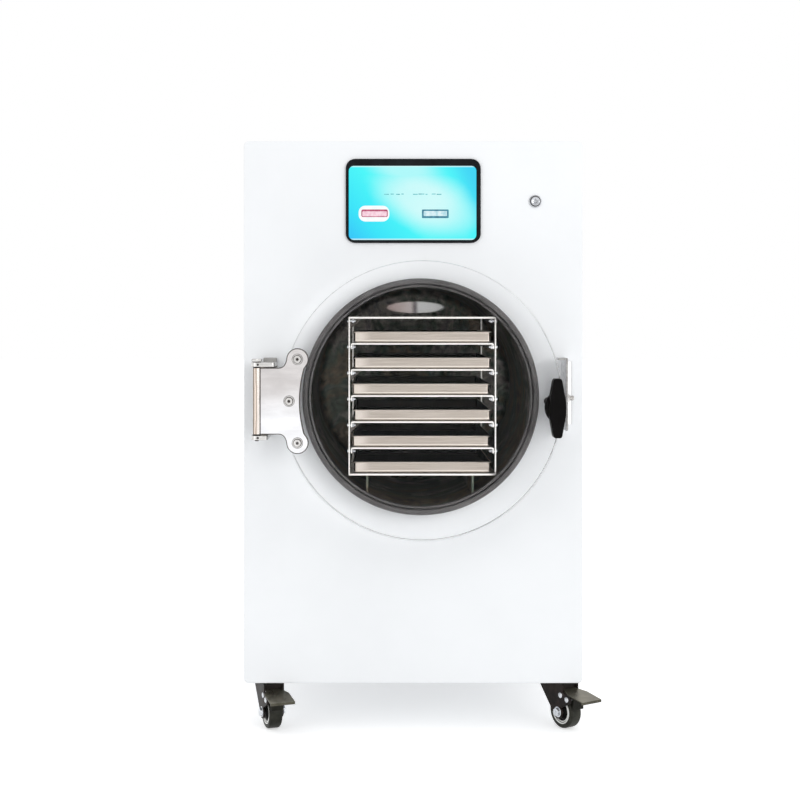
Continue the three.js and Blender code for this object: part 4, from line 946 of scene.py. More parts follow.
# ------------------------------------------------------------------ studio
@dataclass
class Studio:
    """The floor, the lamps, the light all round and the camera."""

    distance: float = 2.2
    eye_x: float = -0.049
    eye_z: float = 0.608
    lens: float = 67.1
    floor_size: float = 40.0

    def build(self) -> None:
        """Makes the camera first, then the lamps, the world and the floor."""
        self._camera()
        self._world()
        self._lamp("key", (1.9, -2.9, 1.15), (0.0, -0.2, 0.25), 1.3, 17.0)
        self._lamp("fill", (-2.0, -2.4, 0.7), (0.0, 0.0, 0.35), 1.6, 6.0)
        self._floor()
        LOG.info("studio ready")

    def _camera(self) -> None:
        """Looks straight at the front from the left of its middle."""
        data = bpy.data.cameras.new("camera")
        data.lens, data.sensor_width = self.lens, 36.0
        data.shift_x, data.shift_y = 0.025, -0.1
        camera = bpy.data.objects.new("camera", data)
        camera.location = (self.eye_x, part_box("front_panel")[0].y - self.distance, self.eye_z)
        camera.rotation_euler = (math.pi / 2, 0.0, 0.0)
        bpy.context.scene.collection.objects.link(camera)
        bpy.context.scene.camera = camera
        bpy.context.scene.view_settings.view_transform = "Standard"

    def _lamp(self, name: str, place: Sequence[float], target: Sequence[float], size: float,
              power: float) -> None:
        """Hangs one soft square lamp that shines at a target."""
        data = bpy.data.lights.new(name, "AREA")
        data.energy, data.size, data.shape = power, size, "SQUARE"
        lamp = bpy.data.objects.new(name, data)
        lamp.location = place
        lamp.rotation_euler = (Vector(target) - Vector(place)).to_track_quat("-Z", "Y").to_euler()
        bpy.context.scene.collection.objects.link(lamp)

    def _world(self) -> None:
        """Lights evenly all round; seen or mirrored, the room is white."""
        world = bpy.data.worlds.new("room")
        bpy.context.scene.world = world
        world.use_nodes = True
        nodes, links = world.node_tree.nodes, world.node_tree.links
        nodes.clear()
        path = nodes.new("ShaderNodeLightPath")
        seen = nodes.new("ShaderNodeMath")
        seen.operation = "MAXIMUM"
        links.new(path.outputs["Is Camera Ray"], seen.inputs[0])
        links.new(path.outputs["Is Glossy Ray"], seen.inputs[1])
        either = nodes.new("ShaderNodeMath")
        either.operation = "MAXIMUM"
        links.new(seen.outputs[0], either.inputs[0])
        links.new(path.outputs["Is Transmission Ray"], either.inputs[1])
        strength = nodes.new("ShaderNodeMapRange")
        links.new(either.outputs[0], strength.inputs[0])
        strength.inputs[3].default_value, strength.inputs[4].default_value = 0.9, 1.0
        sky = nodes.new("ShaderNodeBackground")
        sky.inputs["Color"].default_value = (1.0, 1.0, 1.0, 1.0)
        links.new(strength.outputs[0], sky.inputs["Strength"])
        links.new(sky.outputs[0], nodes.new("ShaderNodeOutputWorld").inputs["Surface"])

    def _floor(self) -> None:
        """Lays a wide pale floor that keeps the shadow and reads as white."""
        deselect()
        bpy.ops.mesh.primitive_plane_add(size=self.floor_size, location=(0, 0, -0.0005))
        floor = bpy.context.active_object
        floor.name = "floor"
        recipe = Recipe("pale_floor")
        recipe.set(roughness=0.9, specular_ior_level=0.0)
        recipe.feed("Base Color", recipe.ramp(recipe.noise(2.0, 3.0), (0.3, tone(232, 233, 234)),
                                              (0.7, tone(238, 239, 240))))
        path = recipe.node("LightPath").outputs
        seen = recipe.math("MAXIMUM", path["Is Camera Ray"], path["Is Glossy Ray"])
        seen = recipe.math("MAXIMUM", seen, path["Is Transmission Ray"])
        recipe.set(emission_color=(1.0, 1.0, 1.0, 1.0))
        reach = recipe.node("VectorMath", {0: recipe.place}, operation="LENGTH").outputs["Value"]
        recipe.feed("Emission Strength", recipe.math("MULTIPLY", seen, recipe.span(reach, 0.9, 3.0, 0.5, 0.5)))
        floor.data.materials.append(recipe.material)


# ------------------------------------------------------------------ cabinet
@dataclass
class CabinetShell:
    """The folded white covers, their screws and air slots, and the base."""

    sheet: float = 0.0015
    corner: float = 0.007
    fold: float = 0.0014
    louvres: int = 9
    louvre_pitch: float = 0.020
    louvre_height: float = 0.007
    louvre_half: float = 0.150
    louvre_rise: float = 0.042
    hood: float = 0.0055
    fan_radius: float = 0.084
    slot_height: float = 0.009
    slot_pitch: float = 0.014

    def build(self) -> None:
        """Builds and dresses the cover sheets."""
        self.front()
        self.rear()
        self.sides()
        ZINC_SHEET.apply("base_frame")

    def pan(self, node: str, outer: float, inner: float) -> Workpiece:
        """Folds a shallow pan with a rounded outer edge.

        Args:
            node: The packed node that gives its outline.
            outer, inner: Where along Y its outer face and its open rim lie.

        Returns:
            The pan.
        """
        low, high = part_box(node)
        corners = ((low.x, low.z), (high.x, high.z), self.corner)
        into = 1 if inner > outer else -1
        rings = [(inset_rectangle(*corners, self.sheet), outer + into * self.sheet),
                 (inset_rectangle(*corners, self.sheet), inner), (inset_rectangle(*corners, 0.0), inner)]
        rings += [(inset_rectangle(*corners, inset), outer + into * rest)
                  for inset, rest in quarter_round(self.fold)]
        return Workpiece.loft(Axis.Y, rings)

    def front(self) -> None:
        """Cuts the front cover for the drum, the screen and the push button."""
        low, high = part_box("front_panel")
        drum, screen, knob = middle("door_gasket"), middle("screen_bezel"), middle("button_cap")
        cover = self.pan("front_panel", low.y, high.y)
        reach = (low.y - 0.01, low.y + 0.01)
        module = rounded_rectangle((screen.x - 0.0931, screen.z - 0.0556), (screen.x + 0.0931, screen.z + 0.0556),
                                   0.004, 3)
        cover.cut(Workpiece.rod(Axis.Y, 0.16862, *reach, drum, 160), Workpiece.plate(Axis.Y, module, *reach),
                  Workpiece.rod(Axis.Y, 0.0081, *reach, knob, 40))
        cover.dressed("front_cover", PAINT, "cabinet", "front_panel")

    def rear(self) -> None:
        """Cuts the air slots, the pump port and the inlet, and adds hoods and screws."""
        low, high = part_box("rear_panel")
        port, inlet, fan = middle("vacuum_port"), middle("power_inlet"), middle("fan_rotor")
        cover = self.pan("rear_panel", high.y, low.y)
        reach = (high.y - 0.01, high.y + 0.01)
        tools = [Workpiece.rod(Axis.Y, 0.0133, *reach, port, 48)]
        half, tall = 0.0213, 0.0123
        hole = rounded_rectangle((inlet.x - half, inlet.z - tall), (inlet.x + half, inlet.z + tall), 0.0032, 3)
        tools.append(Workpiece.plate(Axis.Y, hole, *reach))
        heights = [port.z + self.louvre_rise + i * self.louvre_pitch for i in range(self.louvres)]
        slots = [(0.0, z, self.louvre_half) for z in heights]
        rows = int((self.fan_radius - self.slot_height / 2) / self.slot_pitch)
        for row in range(-rows, rows + 1):
            edge = abs(row * self.slot_pitch) + self.slot_height / 2
            slots.append((fan.x, fan.z + row * self.slot_pitch - self.slot_height / 2,
                          math.sqrt(self.fan_radius ** 2 - edge ** 2)))
        for x, z, half in slots:
            height = self.louvre_height if half == self.louvre_half else self.slot_height
            shape = rounded_rectangle((x - half, z), (x + half, z + height), height * 0.45, 4)
            tools.append(Workpiece.plate(Axis.Y, shape, *reach))
        cover.cut(tools[0].joined(*tools[1:]))
        cover.dressed("rear_cover", PAINT, "cabinet", "rear_panel")
        hood = self.louvre_hood(high.y, heights[0])
        hoods = [hood.copied(Matrix.Translation((0, 0, z - heights[0]))) for z in heights[1:]]
        hood.joined(*hoods).dressed("louvre_hoods", PAINT, "cabinet")
        xs = (low.x + 0.012, 0.0, high.x - 0.012)
        zs = (low.z + 0.012, low.z + 0.21, low.z + 0.4, low.z + 0.59, high.z - 0.012)
        places = [(x, high.y, z) for x in (xs[0], xs[2]) for z in zs] + [(0.0, high.y, z) for z in (zs[0], zs[4])]
        cover_screws(Axis.Y, 1, places).dressed("rear_screws", PLATED, "cabinet")

    def louvre_hood(self, face: float, z: float) -> Workpiece:
        """Presses one hood that throws the air down, tapered at its two ends."""
        top, lip = z + self.louvre_height + 0.0015, z + 0.0012

        def section(rise: float) -> list[Point]:
            """Gives the hood's section, standing off the sheet by a rise."""
            outer = [(face + rise * math.sin(t), lip + (top - lip) * math.cos(t))
                     for t in (math.pi / 2 * i / 6 for i in range(7))]
            wall = 0.0012
            inner = [(face + max(rise - wall, 0.0002) * math.sin(t), lip + (top - lip - wall) * math.cos(t))
                     for t in (math.pi / 2 * i / 6 for i in range(6, -1, -1))]
            return outer + inner

        end = self.louvre_half + 0.001
        return Workpiece.loft(Axis.X, [(section(0.0008), -end), (section(self.hood * 0.8), -end + 0.004),
                                       (section(self.hood), -end + 0.009), (section(self.hood), end - 0.009),
                                       (section(self.hood * 0.8), end - 0.004), (section(0.0008), end)])

    def sides(self) -> None:
        """Folds the side sheets and lays the top sheet between the covers."""
        for node, name in (("side_panel_left", "left_cover"), ("side_panel_right", "right_cover")):
            low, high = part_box(node)
            outer, lip = (low.x, high.x) if low.x < 0 else (high.x, low.x)
            inner = outer - math.copysign(self.sheet, outer)
            section = [(outer, low.z), (lip, low.z), (lip, low.z + self.sheet), (inner, low.z + self.sheet),
                       (inner, high.z - self.sheet), (lip, high.z - self.sheet), (lip, high.z), (outer, high.z)]
            piece = Workpiece.plate(Axis.Y, section, low.y, high.y).rounded(0.0005, 3)
            piece.dressed(name, PAINT, "cabinet", node)
            side = math.copysign(1, outer)
            places = [(outer, y, z) for y in (low.y + 0.03, (low.y + high.y) / 2, high.y - 0.03)
                      for z in (low.z + 0.012,)]
            cover_screws(Axis.X, side, places).dressed(name + "_screws", PLATED, "cabinet")
        low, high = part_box("top_panel")
        Workpiece.block(low, high).rounded(0.0006, 3).dressed("top_cover", PAINT, "cabinet", "top_panel")


def cover_screws(axis: Axis, side: float, places: Sequence[Sequence[float]]) -> Workpiece:
    """Puts a low round-headed cross-recess screw at each place.

    Args:
        axis: The direction that the heads face.
        side: 1 where they face along it, and -1 against it.
        places: Where each head meets its sheet.

    Returns:
        All the heads in one mesh.
    """
    radius, height = 0.0036, 0.0016
    dome = [(radius * math.cos(t), height * math.sin(t)) for t in (math.pi / 2 * i / 5 for i in range(6))]
    profile = [(0.0, -0.0004), (radius, -0.0004)] + dome
    head = Workpiece.lathe(Axis.Z, profile, (0, 0, 0), 24)
    for wide, deep in ((0.0022, 0.0004), (0.0004, 0.0022)):
        head.cut(Workpiece.block((-wide, -deep, height * 0.4), (wide, deep, height * 2)))
    turn = Vector((0, 0, 1)).rotation_difference(axis.vector * side).to_matrix().to_4x4()
    heads = [head.copied(Matrix.Translation(place) @ turn) for place in places]
    bpy.data.objects.remove(head.thing)
    return heads[0].joined(*heads[1:])


# ------------------------------------------------------------------ chamber
@dataclass
class VacuumChamber:
    """The drum with its seal, and the rack of heated shelves with its trays."""

    radius: float = 0.16502
    wall: float = 0.003
    back: float = 0.006
    port: float = 0.012
    dish: float = 0.012

    def build(self) -> None:
        """Builds the drum, the seal, the rack, the shelves and the trays."""
        self.centre = middle("door_gasket")
        self.drum()
        self.seal()
        self.rack()
        self.shelves()
        self.trays()
        COPPER.apply("evaporator_coil")
        FOAM.apply("chamber_insulation")

    def drum(self) -> None:
        """Turns the drum and adds its rails, its drain spigot and its port's weld."""
        low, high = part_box("vacuum_chamber")
        outer = self.radius + self.wall
        mouth, rear, floor = low.y, high.y, high.y - self.back
        profile = [(self.port, rear), *((outer - i, rear - r) for i, r in reversed(quarter_round(0.005))),
                   (outer, mouth + 0.0005), (outer - 0.0005, mouth), (self.radius + 0.0005, mouth),
                   (self.radius, mouth + 0.0005),
                   *((self.radius - i, floor - r) for i, r in quarter_round(self.dish, 6)),
                   (self.port, floor)]
        body = Workpiece.lathe(Axis.Y, profile, self.centre, 160)
        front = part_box("shelf_rack")[0]
        for side in (-1, 1):
            x = self.centre.x + side * 0.078
            body.fused(Workpiece.block((x - 0.0015, front.y + 0.020, self.centre.z - 0.1496),
                                       (x + 0.0015, floor + 0.001, front.z - 0.0003)))
        spigot_y = -0.1122
        spigot = Workpiece.rod(Axis.Z, 0.007, low.z, self.centre.z - self.radius - 0.0015,
                               (self.centre.x, spigot_y, 0), 32)
        body.fused(spigot).cut(Workpiece.rod(Axis.Z, 0.005, low.z - 0.001, self.centre.z - self.radius + 0.001,
                                             (self.centre.x, spigot_y, 0), 32))
        body.dressed("drum", DRUM_STEEL, "cabinet", "vacuum_chamber")
        bead = arc(self.centre.x, self.centre.z, self.port + 0.0022, 0, 352.5, 47)
        Workpiece.tube([(x, floor - 0.0004, z) for x, z in bead], 0.0011, closed=True).dressed(
            "port_weld", PORT_STEEL, "cabinet")

    def seal(self) -> None:
        """Turns the soft ring that grips the drum's edge, with a bead and a lip."""
        low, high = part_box("door_gasket")
        front, rear, mouth = low.y, high.y, low.y + 0.014
        outer, inner, lip = (high.x - low.x) / 2, self.radius - 0.003, self.radius - 0.006
        drum_outer = self.radius + self.wall
        profile = [(lip, front + 0.0042), *((lip + 0.0026 - 0.0026 * math.cos(math.radians(a)),
                                             front + 0.0030 - 0.0026 * math.sin(math.radians(a)))
                                            for a in (20, 45, 70, 90)),
                   (lip + 0.0032, front + 0.0012), (lip + 0.0034, front + 0.0070), (lip + 0.0050, front + 0.0070),
                   (lip + 0.0051, front + 0.0010), (lip + 0.0060, front),
                   *((outer - i, front + r) for i, r in reversed(quarter_round(0.0042, 5))),
                   (outer, rear - 0.0008), (outer - 0.0008, rear), (drum_outer + 0.0003, rear),
                   (drum_outer + 0.0003, mouth - 0.0003), (self.radius - 0.0003, mouth - 0.0003),
                   (self.radius - 0.0003, rear), (inner, rear), (inner, mouth), (lip, mouth - 0.0043)]
        Workpiece.lathe(Axis.Y, profile, self.centre, 176).dressed("door_seal", GASKET_RUBBER, "cabinet",
                                                                   "door_gasket", smooth=50)

    def rack(self) -> None:
        """Welds the four posts to the end plates and fits gussets and screws."""
        low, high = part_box("shelf_rack")
        plate, post, deep = 0.0026, 0.0019, 0.018
        body = Workpiece.block(low, (high.x, high.y, low.z + plate))
        body.fused(Workpiece.block((low.x, low.y, high.z - plate), high))
        for x0, x1 in ((low.x, low.x + post), (high.x - post, high.x)):
            for y0, y1 in ((low.y, low.y + deep), (high.y - deep, high.y)):
                body.fused(Workpiece.block((x0, y0, low.z), (x1, y1, high.z)))
        body.rounded(0.0004, 2).dressed("rack_frame", RACK_STEEL, "cabinet", "shelf_rack")
        self.gussets(low, high, plate, post)

    def gussets(self, low: Vector, high: Vector, plate: float, post: float) -> None:
        """Bolts each shelf to the front posts and fits the left-hand gussets.

        Args:
            low, high: The rack's corners.
            plate: The thickness of its plates.
            post: The width of its posts.
        """
        pitch = (high.z - low.z - 0.003) / 6
        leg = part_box("heated_shelf_1")[0].x - low.x + 0.002
        gussets, bolts = [], []
        for level in range(1, 7):
            top = low.z + 0.003 + level * pitch
            for side, x in ((1, low.x), (-1, high.x)):
                bolts.append(self.shelf_bolt(x, side, leg, (low.y + 0.0045, top - 0.0060)))
            if level % 2 == 0:
                x, under = low.x + post, top - plate
                shape = [(x, under), (x + 0.0165, under), (x + 0.0145, under - 0.0016), (x + 0.0010, under - 0.0158),
                         (x, under - 0.0160)]
                gussets.append(Workpiece.plate(Axis.Y, shape, low.y + 0.0092, low.y + 0.0106).rounded(0.0005, 1))
        # Gusset faces in painted shade, their edges in a lighter painted shade.
        gussets[0].joined(*gussets[1:]).dressed("rack_gussets", GUSSET_SHADE, "cabinet",
                                                regions=[Region(GUSSET_EDGE_SHADE, turned_from(Axis.Y))])
        bolts[0].joined(*bolts[1:]).dressed("rack_bolts", PLATED, "cabinet")

    def shelf_bolt(self, post: float, side: int, leg: float, at: Point) -> Workpiece:
        """Makes one bolt through a post and a shelf's folded end.

        Args:
            post: Where along X the post's outer face lies.
            side: 1 where the bolt points along +X, and -1 against it.
            leg: How far from that face the shelf's folded end reaches.
            at: The bolt's place along Y and Z.

        Returns:
            The head, the nut and the end of the thread in one mesh.
        """
        def run(start: float, end: float) -> tuple[float, float]:
            """Gives two places along X from distances inwards of the post's face."""
            places = (post + side * start, post + side * end)
            return min(places), max(places)

        centre = (0, *at)
        nut = Workpiece.rod(Axis.X, 0.0034, *run(leg, leg + 0.0026), centre, 6).rounded(0.0004, 2)
        thread = Workpiece.rod(Axis.X, 0.0017, *run(0.0, leg + 0.0052), centre, 16).rounded(0.0004, 1)
        head = Workpiece.rod(Axis.X, 0.0030, *run(-0.0022, 0.0002), centre, 16).rounded(0.0008, 2)
        return nut.joined(thread, head)

    def shelves(self) -> None:
        """Folds one heated shelf and copies it up the rack."""
        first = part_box("heated_shelf_1")
        low, high = first
        wall, plate = 0.002, 0.0026
        bend = 0.003
        section = [(low.x, low.z), (low.x + wall, low.z), (low.x + wall, high.z - plate),
                   (high.x - wall, high.z - plate), (high.x - wall, low.z), (high.x, low.z)]
        section += arc(high.x - bend, high.z - bend, bend, 0, 90, 5)
        section += arc(low.x + bend, high.z - bend, bend, 90, 180, 5)
        shelf = Workpiece.plate(Axis.Y, section, low.y, high.y).rounded(0.0004, 2, 40)
        for number in range(2, 6):
            node = f"heated_shelf_{number}"
            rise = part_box(node)[0] - low
            shelf.copied(Matrix.Translation(rise)).dressed(f"shelf_{number}", RACK_STEEL, "cabinet", node)
        shelf.dressed("shelf_1", RACK_STEEL, "cabinet", "heated_shelf_1")

    def trays(self) -> None:
        """Draws one open tray with a turned-out rim and copies it to each level."""
        low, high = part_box("tray_1")
        corners = ((low.x, low.y), (high.x, high.y), 0.006)
        rim, wall, foot = 0.0016, 0.001, 0.0012
        rings = [(inset_rectangle(*corners, 0.0055), low.z), (inset_rectangle(*corners, 0.0045), low.z + foot)]
        rings += [(inset_rectangle(*corners, rim + i), low.z + foot + r) for i, r in reversed(quarter_round(0.0012))]
        rings += [(inset_rectangle(*corners, rim), high.z - rim - 0.0006),
                  (inset_rectangle(*corners, 0.0003), high.z - rim),
                  (inset_rectangle(*corners, 0.0), high.z - rim / 2),
                  (inset_rectangle(*corners, 0.0005), high.z - 0.0002), (inset_rectangle(*corners, 0.0012), high.z),
                  (inset_rectangle(*corners, rim + wall - 0.0004), high.z),
                  (inset_rectangle(*corners, rim + wall), high.z - 0.0006),
                  (inset_rectangle(*corners, rim + wall), low.z + foot + wall + 0.0015),
                  (inset_rectangle(*corners, rim + wall + 0.0005), low.z + foot + wall + 0.0004),
                  (inset_rectangle(*corners, rim + wall + 0.0016), low.z + foot + wall)]
        steel = DrawnTray("satin_tray", Slot.TRAY, low.z, left=low.x)
        tray = Workpiece.loft(Axis.Z, rings)
        centre, reach = (low + high) / 2, (high - low) / 2
        edge = rim + wall - 0.0002

        def inside(middle: Vector, normal: Vector) -> bool:
            """Tells whether a face of any tray looks into it."""
            beside = reach.y - abs(middle.y - centre.y)
            across = min(abs(middle.x - centre.x), abs(middle.x - centre.x + 0.002))
            return min(beside, reach.x - across) > edge and normal.z > -0.1 and (
                (middle.z - low.z) % steel.pitch > foot + 0.0004)

        # The trays' insides take a painted shade.
        shaded_insides = [Region(TRAY_INSIDE_SHADE, inside)]
        for number in range(2, 7):
            node = f"tray_{number}"
            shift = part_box(node)[0] - low
            tray.copied(Matrix.Translation(shift)).dressed(f"drying_tray_{number}", steel, "cabinet", node,
                                                           regions=shaded_insides)
        tray.dressed("drying_tray_1", steel, "cabinet", "tray_1", regions=shaded_insides)


# ------------------------------------------------------------------ door
@dataclass
class Door:
    """The clear disc on its polished hinge."""

    chamfer: float = 0.0012
    screw_hole: float = 0.0033
    pin: float = 0.003
    running: float = 0.00009

    def build(self) -> None:
        """Builds the disc, the hinge plate, its screws, the brackets and the pin."""
        low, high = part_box("door_disc")
        self.front, self.rear = low.y, high.y
        self.radius = (high.x - low.x) / 2
        self.centre = (low + high) / 2
        self.axle = middle("hinge_pin")
        self.plate_low, self.plate_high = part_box("hinge_plate")
        self.pin_y = (self.plate_high.y - 0.0055)
        self.screws = [middle(f"hinge_screw_{p}") for p in ("top", "middle", "bottom")]
        self.disc()
        self.hinge()
        self.hinge_screws()
        self.brackets()
        self.hinge_pin()

    def disc(self) -> None:
        """Turns the clear disc and drills it for its screws and the latch."""
        c = self.chamfer
        profile = [(0.0, self.front), (self.radius - c, self.front), (self.radius - c * 0.3, self.front + c * 0.3),
                   (self.radius, self.front + c), (self.radius, self.rear - c),
                   (self.radius - c * 0.3, self.rear - c * 0.3), (self.radius - c, self.rear), (0.0, self.rear)]
        body = Workpiece.lathe(Axis.Y, profile, self.centre, 224)
        shaft = middle("door_handle")
        tools = [Workpiece.rod(Axis.Y, self.screw_hole, self.front - 0.001, self.front + 0.0105, at, 20)
                 for at in self.screws]
        body.cut(Workpiece.rod(Axis.Y, 0.00509, self.front - 0.001, self.rear + 0.001, shaft, 32), *tools)
        body.dressed("clear_door", ACRYLIC, "door", "door_disc", smooth=10)

    def outline(self) -> list[Point]:
        """Gives the hinge plate's outline, with its two ears and its hollow side."""
        ear_x, ear_z = self.screws[0].x, self.screws[0].z - self.centre.z
        half, ear, hollow = 0.048, 0.016, 0.16802 + 0.004 + 0.002
        seal = middle("door_gasket")
        lean = math.degrees(math.asin((ear_z - ear + 0.002) / hollow))
        pin_x, neck, bend = self.axle.x + 0.0045, self.axle.x + 0.031, ear_x - ear - 0.001
        side = math.radians(10)

        def sweep(start: Point, control: Point, end: Point) -> list[Point]:
            """Gives a soft curve between two points, pulled to a third."""
            return [tuple((1 - t) ** 2 * a + 2 * t * (1 - t) * b + t * t * c
                          for a, b, c in zip(start, control, end)) for t in (i / 8 for i in range(9))]

        lower_ear = (ear_x - ear * math.cos(side), -ear_z - ear * math.sin(side))
        upper_ear = (ear_x - ear * math.cos(side), ear_z + ear * math.sin(side))
        points = [(pin_x, -half)] + sweep((neck, -half), (bend, -half), lower_ear)
        points += arc(ear_x, -ear_z, ear, 190, 390, 20)[1:]
        points += arc(seal.x, 0.0, hollow, 180 + lean, 180 - lean, 16)
        points += arc(ear_x, ear_z, ear, -30, 170, 20)[:-1]
        points += sweep(upper_ear, (bend, half), (neck, half)) + [(pin_x, half)]
        return [(x, z + self.centre.z) for x, z in points]

    def hinge(self) -> None:
        """Cuts the polished plate and turns its barrel."""
        rear = self.front - 0.0003
        plate = Workpiece.plate(Axis.Y, self.outline(), rear, rear - 0.006).rounded(0.0014, 2, 40)
        for at in self.screws:
            plate.cut(Workpiece.rod(Axis.Y, self.screw_hole, rear - 0.008, rear + 0.001, at, 24))
        # The plate's cut sides take the darker edge steel, partly painted shade.
        plate.dressed("hinge_leaf", HINGE_STEEL, "door", "hinge_plate",
                      regions=[Region(EDGE_SHADE_STEEL, turned_from(Axis.Y))])
        low, high = self.centre.z - 0.048, self.centre.z + 0.048
        bore, outer = self.pin + self.running, 0.0055
        profile = [(bore, low), (outer - 0.0006, low), (outer, low + 0.0006), (outer, high - 0.0006),
                   (outer - 0.0006, high), (bore, high)]
        Workpiece.lathe(Axis.Z, profile, (self.axle.x, self.pin_y, 0), 40).dressed(
            "hinge_barrel", BarrelSteel("barrel_painted_reflections", Slot.POLISHED, self.axle.x), "door")

    def hinge_screws(self) -> None:
        """Turns a socket-head screw with its washer and copies it to the three holes."""
        face = self.front - 0.0066
        top = face - 0.0012 - 0.004
        groove = face - 0.0006
        profile = [(0.0, top), (0.0052, top), (0.0056, top + 0.0004), (0.0056, groove), (0.0061, groove),
                   (0.0062, face - 0.0012), (0.0074, face - 0.0012), (0.008, groove), (0.008, face), (0.003, face),
                   (0.003, face + 0.0155), (0.0026, face + 0.016), (0.0, face + 0.016)]
        at = self.screws[0]
        screw = Workpiece.lathe(Axis.Y, profile, at, 48)
        screw.cut(Workpiece.rod(Axis.Y, 0.0024, top - 0.001, top + 0.0024, at, 6))
        # Painted shade: the screws' side faces, the washer's groove and the socket's floor are dark.
        levels = (groove, top + 0.0024)
        dark = [Region(DARK_SHADE_STEEL, lambda middle, normal: (
            abs(normal.y) < 0.9 or min(abs(middle.y - level) for level in levels) < 0.0002))]
        for name, place in (("middle", self.screws[1]), ("bottom", self.screws[2])):
            copy = screw.copied(Matrix.Translation(place - at))
            copy.dressed(f"door_screw_{name}", SCREW_STEEL, "door", f"hinge_screw_{name}", regions=dark)
        screw.dressed("door_screw_top", SCREW_STEEL, "door", "hinge_screw_top", regions=dark)

    def brackets(self) -> None:
        """Shapes the two arms that carry the pin, each with its foot."""
        for name, side in (("top", 1), ("bottom", -1)):
            node = f"hinge_bracket_{name}"
            low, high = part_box(node)
            arm = (high.z - 0.006, high.z) if side > 0 else (low.z, low.z + 0.006)
            axle = (self.axle.x, self.pin_y)
            shape = [(low.x, high.y), (low.x, axle[1])] + arc(*axle, 0.008, 180, 270, 10)[1:]
            shape += [(high.x - 0.004, axle[1] - 0.008)]
            shape += arc(high.x - 0.004, axle[1] - 0.004, 0.004, 270, 360, 5)[1:] + [(high.x, high.y)]
            body = Workpiece.plate(Axis.Z, shape, *arm)
            foot = (low.z, high.z - 0.003) if side > 0 else (low.z + 0.003, high.z)
            body.fused(Workpiece.block((low.x, high.y - 0.004, foot[0]), (high.x, high.y, foot[1])))
            body.cut(Workpiece.rod(Axis.Z, 0.0033, arm[0] - 0.001, arm[1] + 0.001, (*axle, 0), 24))
            mark = (axle[0] + 0.002, 0.0, sum(arm) / 2)
            body.cut(Workpiece.rod(Axis.Y, 0.0016, axle[1] - 0.009, axle[1] - 0.0055, mark, 20))
            # Painted shade inside the sunk mark on the arm.
            sunk = Region(DARK_SHADE_STEEL, lambda middle, normal: middle.y < axle[1] - 0.0052 and abs(
                middle.x - mark[0]) < 0.0017 and (abs(normal.y) < 0.9 or middle.y > axle[1] - 0.0062))
            body.rounded(0.0004, 2, 50).dressed(f"hinge_arm_{name}", BRACKET_STEEL, "cabinet", node, regions=[sunk])
            spacer = (arm[0] - 0.0012, arm[0]) if side > 0 else (arm[1], arm[1] + 0.0012)
            ring = [(0.0034, spacer[0]), (0.0060, spacer[0]), (0.0060, spacer[1]), (0.0034, spacer[1])]
            Workpiece.lathe(Axis.Z, ring, (*axle, 0), 32).dressed(f"hinge_spacer_{name}", PLASTIC, "cabinet")
        self.flange()

    def flange(self) -> None:
        """Adds the block that backs the top arm, with its sunk screw."""
        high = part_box("hinge_bracket_top")[1]
        block = Workpiece.block((self.axle.x + 0.0055, high.y - 0.006, high.z - 0.006),
                                (high.x - 0.001, high.y, high.z + 0.0055)).rounded(0.0008, 2)
        at = (high.x - 0.0055, 0, high.z - 0.0015)
        block.cut(Workpiece.rod(Axis.Y, 0.0018, high.y - 0.007, high.y - 0.003, at, 20))
        # The block takes the grey painted shade all over, and its screw hole the dark painted shade.
        hole = Region(DARK_SHADE_STEEL, lambda middle, _: middle.y > high.y - 0.0059 and (
            math.hypot(middle.x - at[0], middle.z - at[2]) < 0.0019))
        block.dressed("hinge_flange", GREY_SHADE_STEEL, "cabinet", regions=[hole])

    def hinge_pin(self) -> None:
        """Makes the pin with its six-sided head."""
        low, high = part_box("hinge_pin")
        seat = high.z - 0.005
        head = Workpiece.rod(Axis.Z, 0.008, seat + 0.001, high.z, (self.axle.x, self.pin_y, 0), 6).rounded(0.0006, 2)
        washer = Workpiece.rod(Axis.Z, 0.0062, seat, seat + 0.0012, (self.axle.x, self.pin_y, 0), 24)
        shank = Workpiece.lathe(Axis.Z, [(0.0, low.z), (0.0024, low.z), (0.003, low.z + 0.0006),
                                         (0.003, seat + 0.001), (0.0, seat + 0.001)],
                                (self.axle.x, self.pin_y, 0), 32)
        shade = Region(DARK_SHADE_STEEL, lambda middle, normal: (
            middle.z < seat + 0.0011 or abs(middle.x - self.axle.x) > 0.0045 and abs(normal.z) < 0.9))
        head.fused(washer, shank).dressed("hinge_bolt", BRACKET_STEEL, "cabinet", "hinge_pin", regions=[shade])


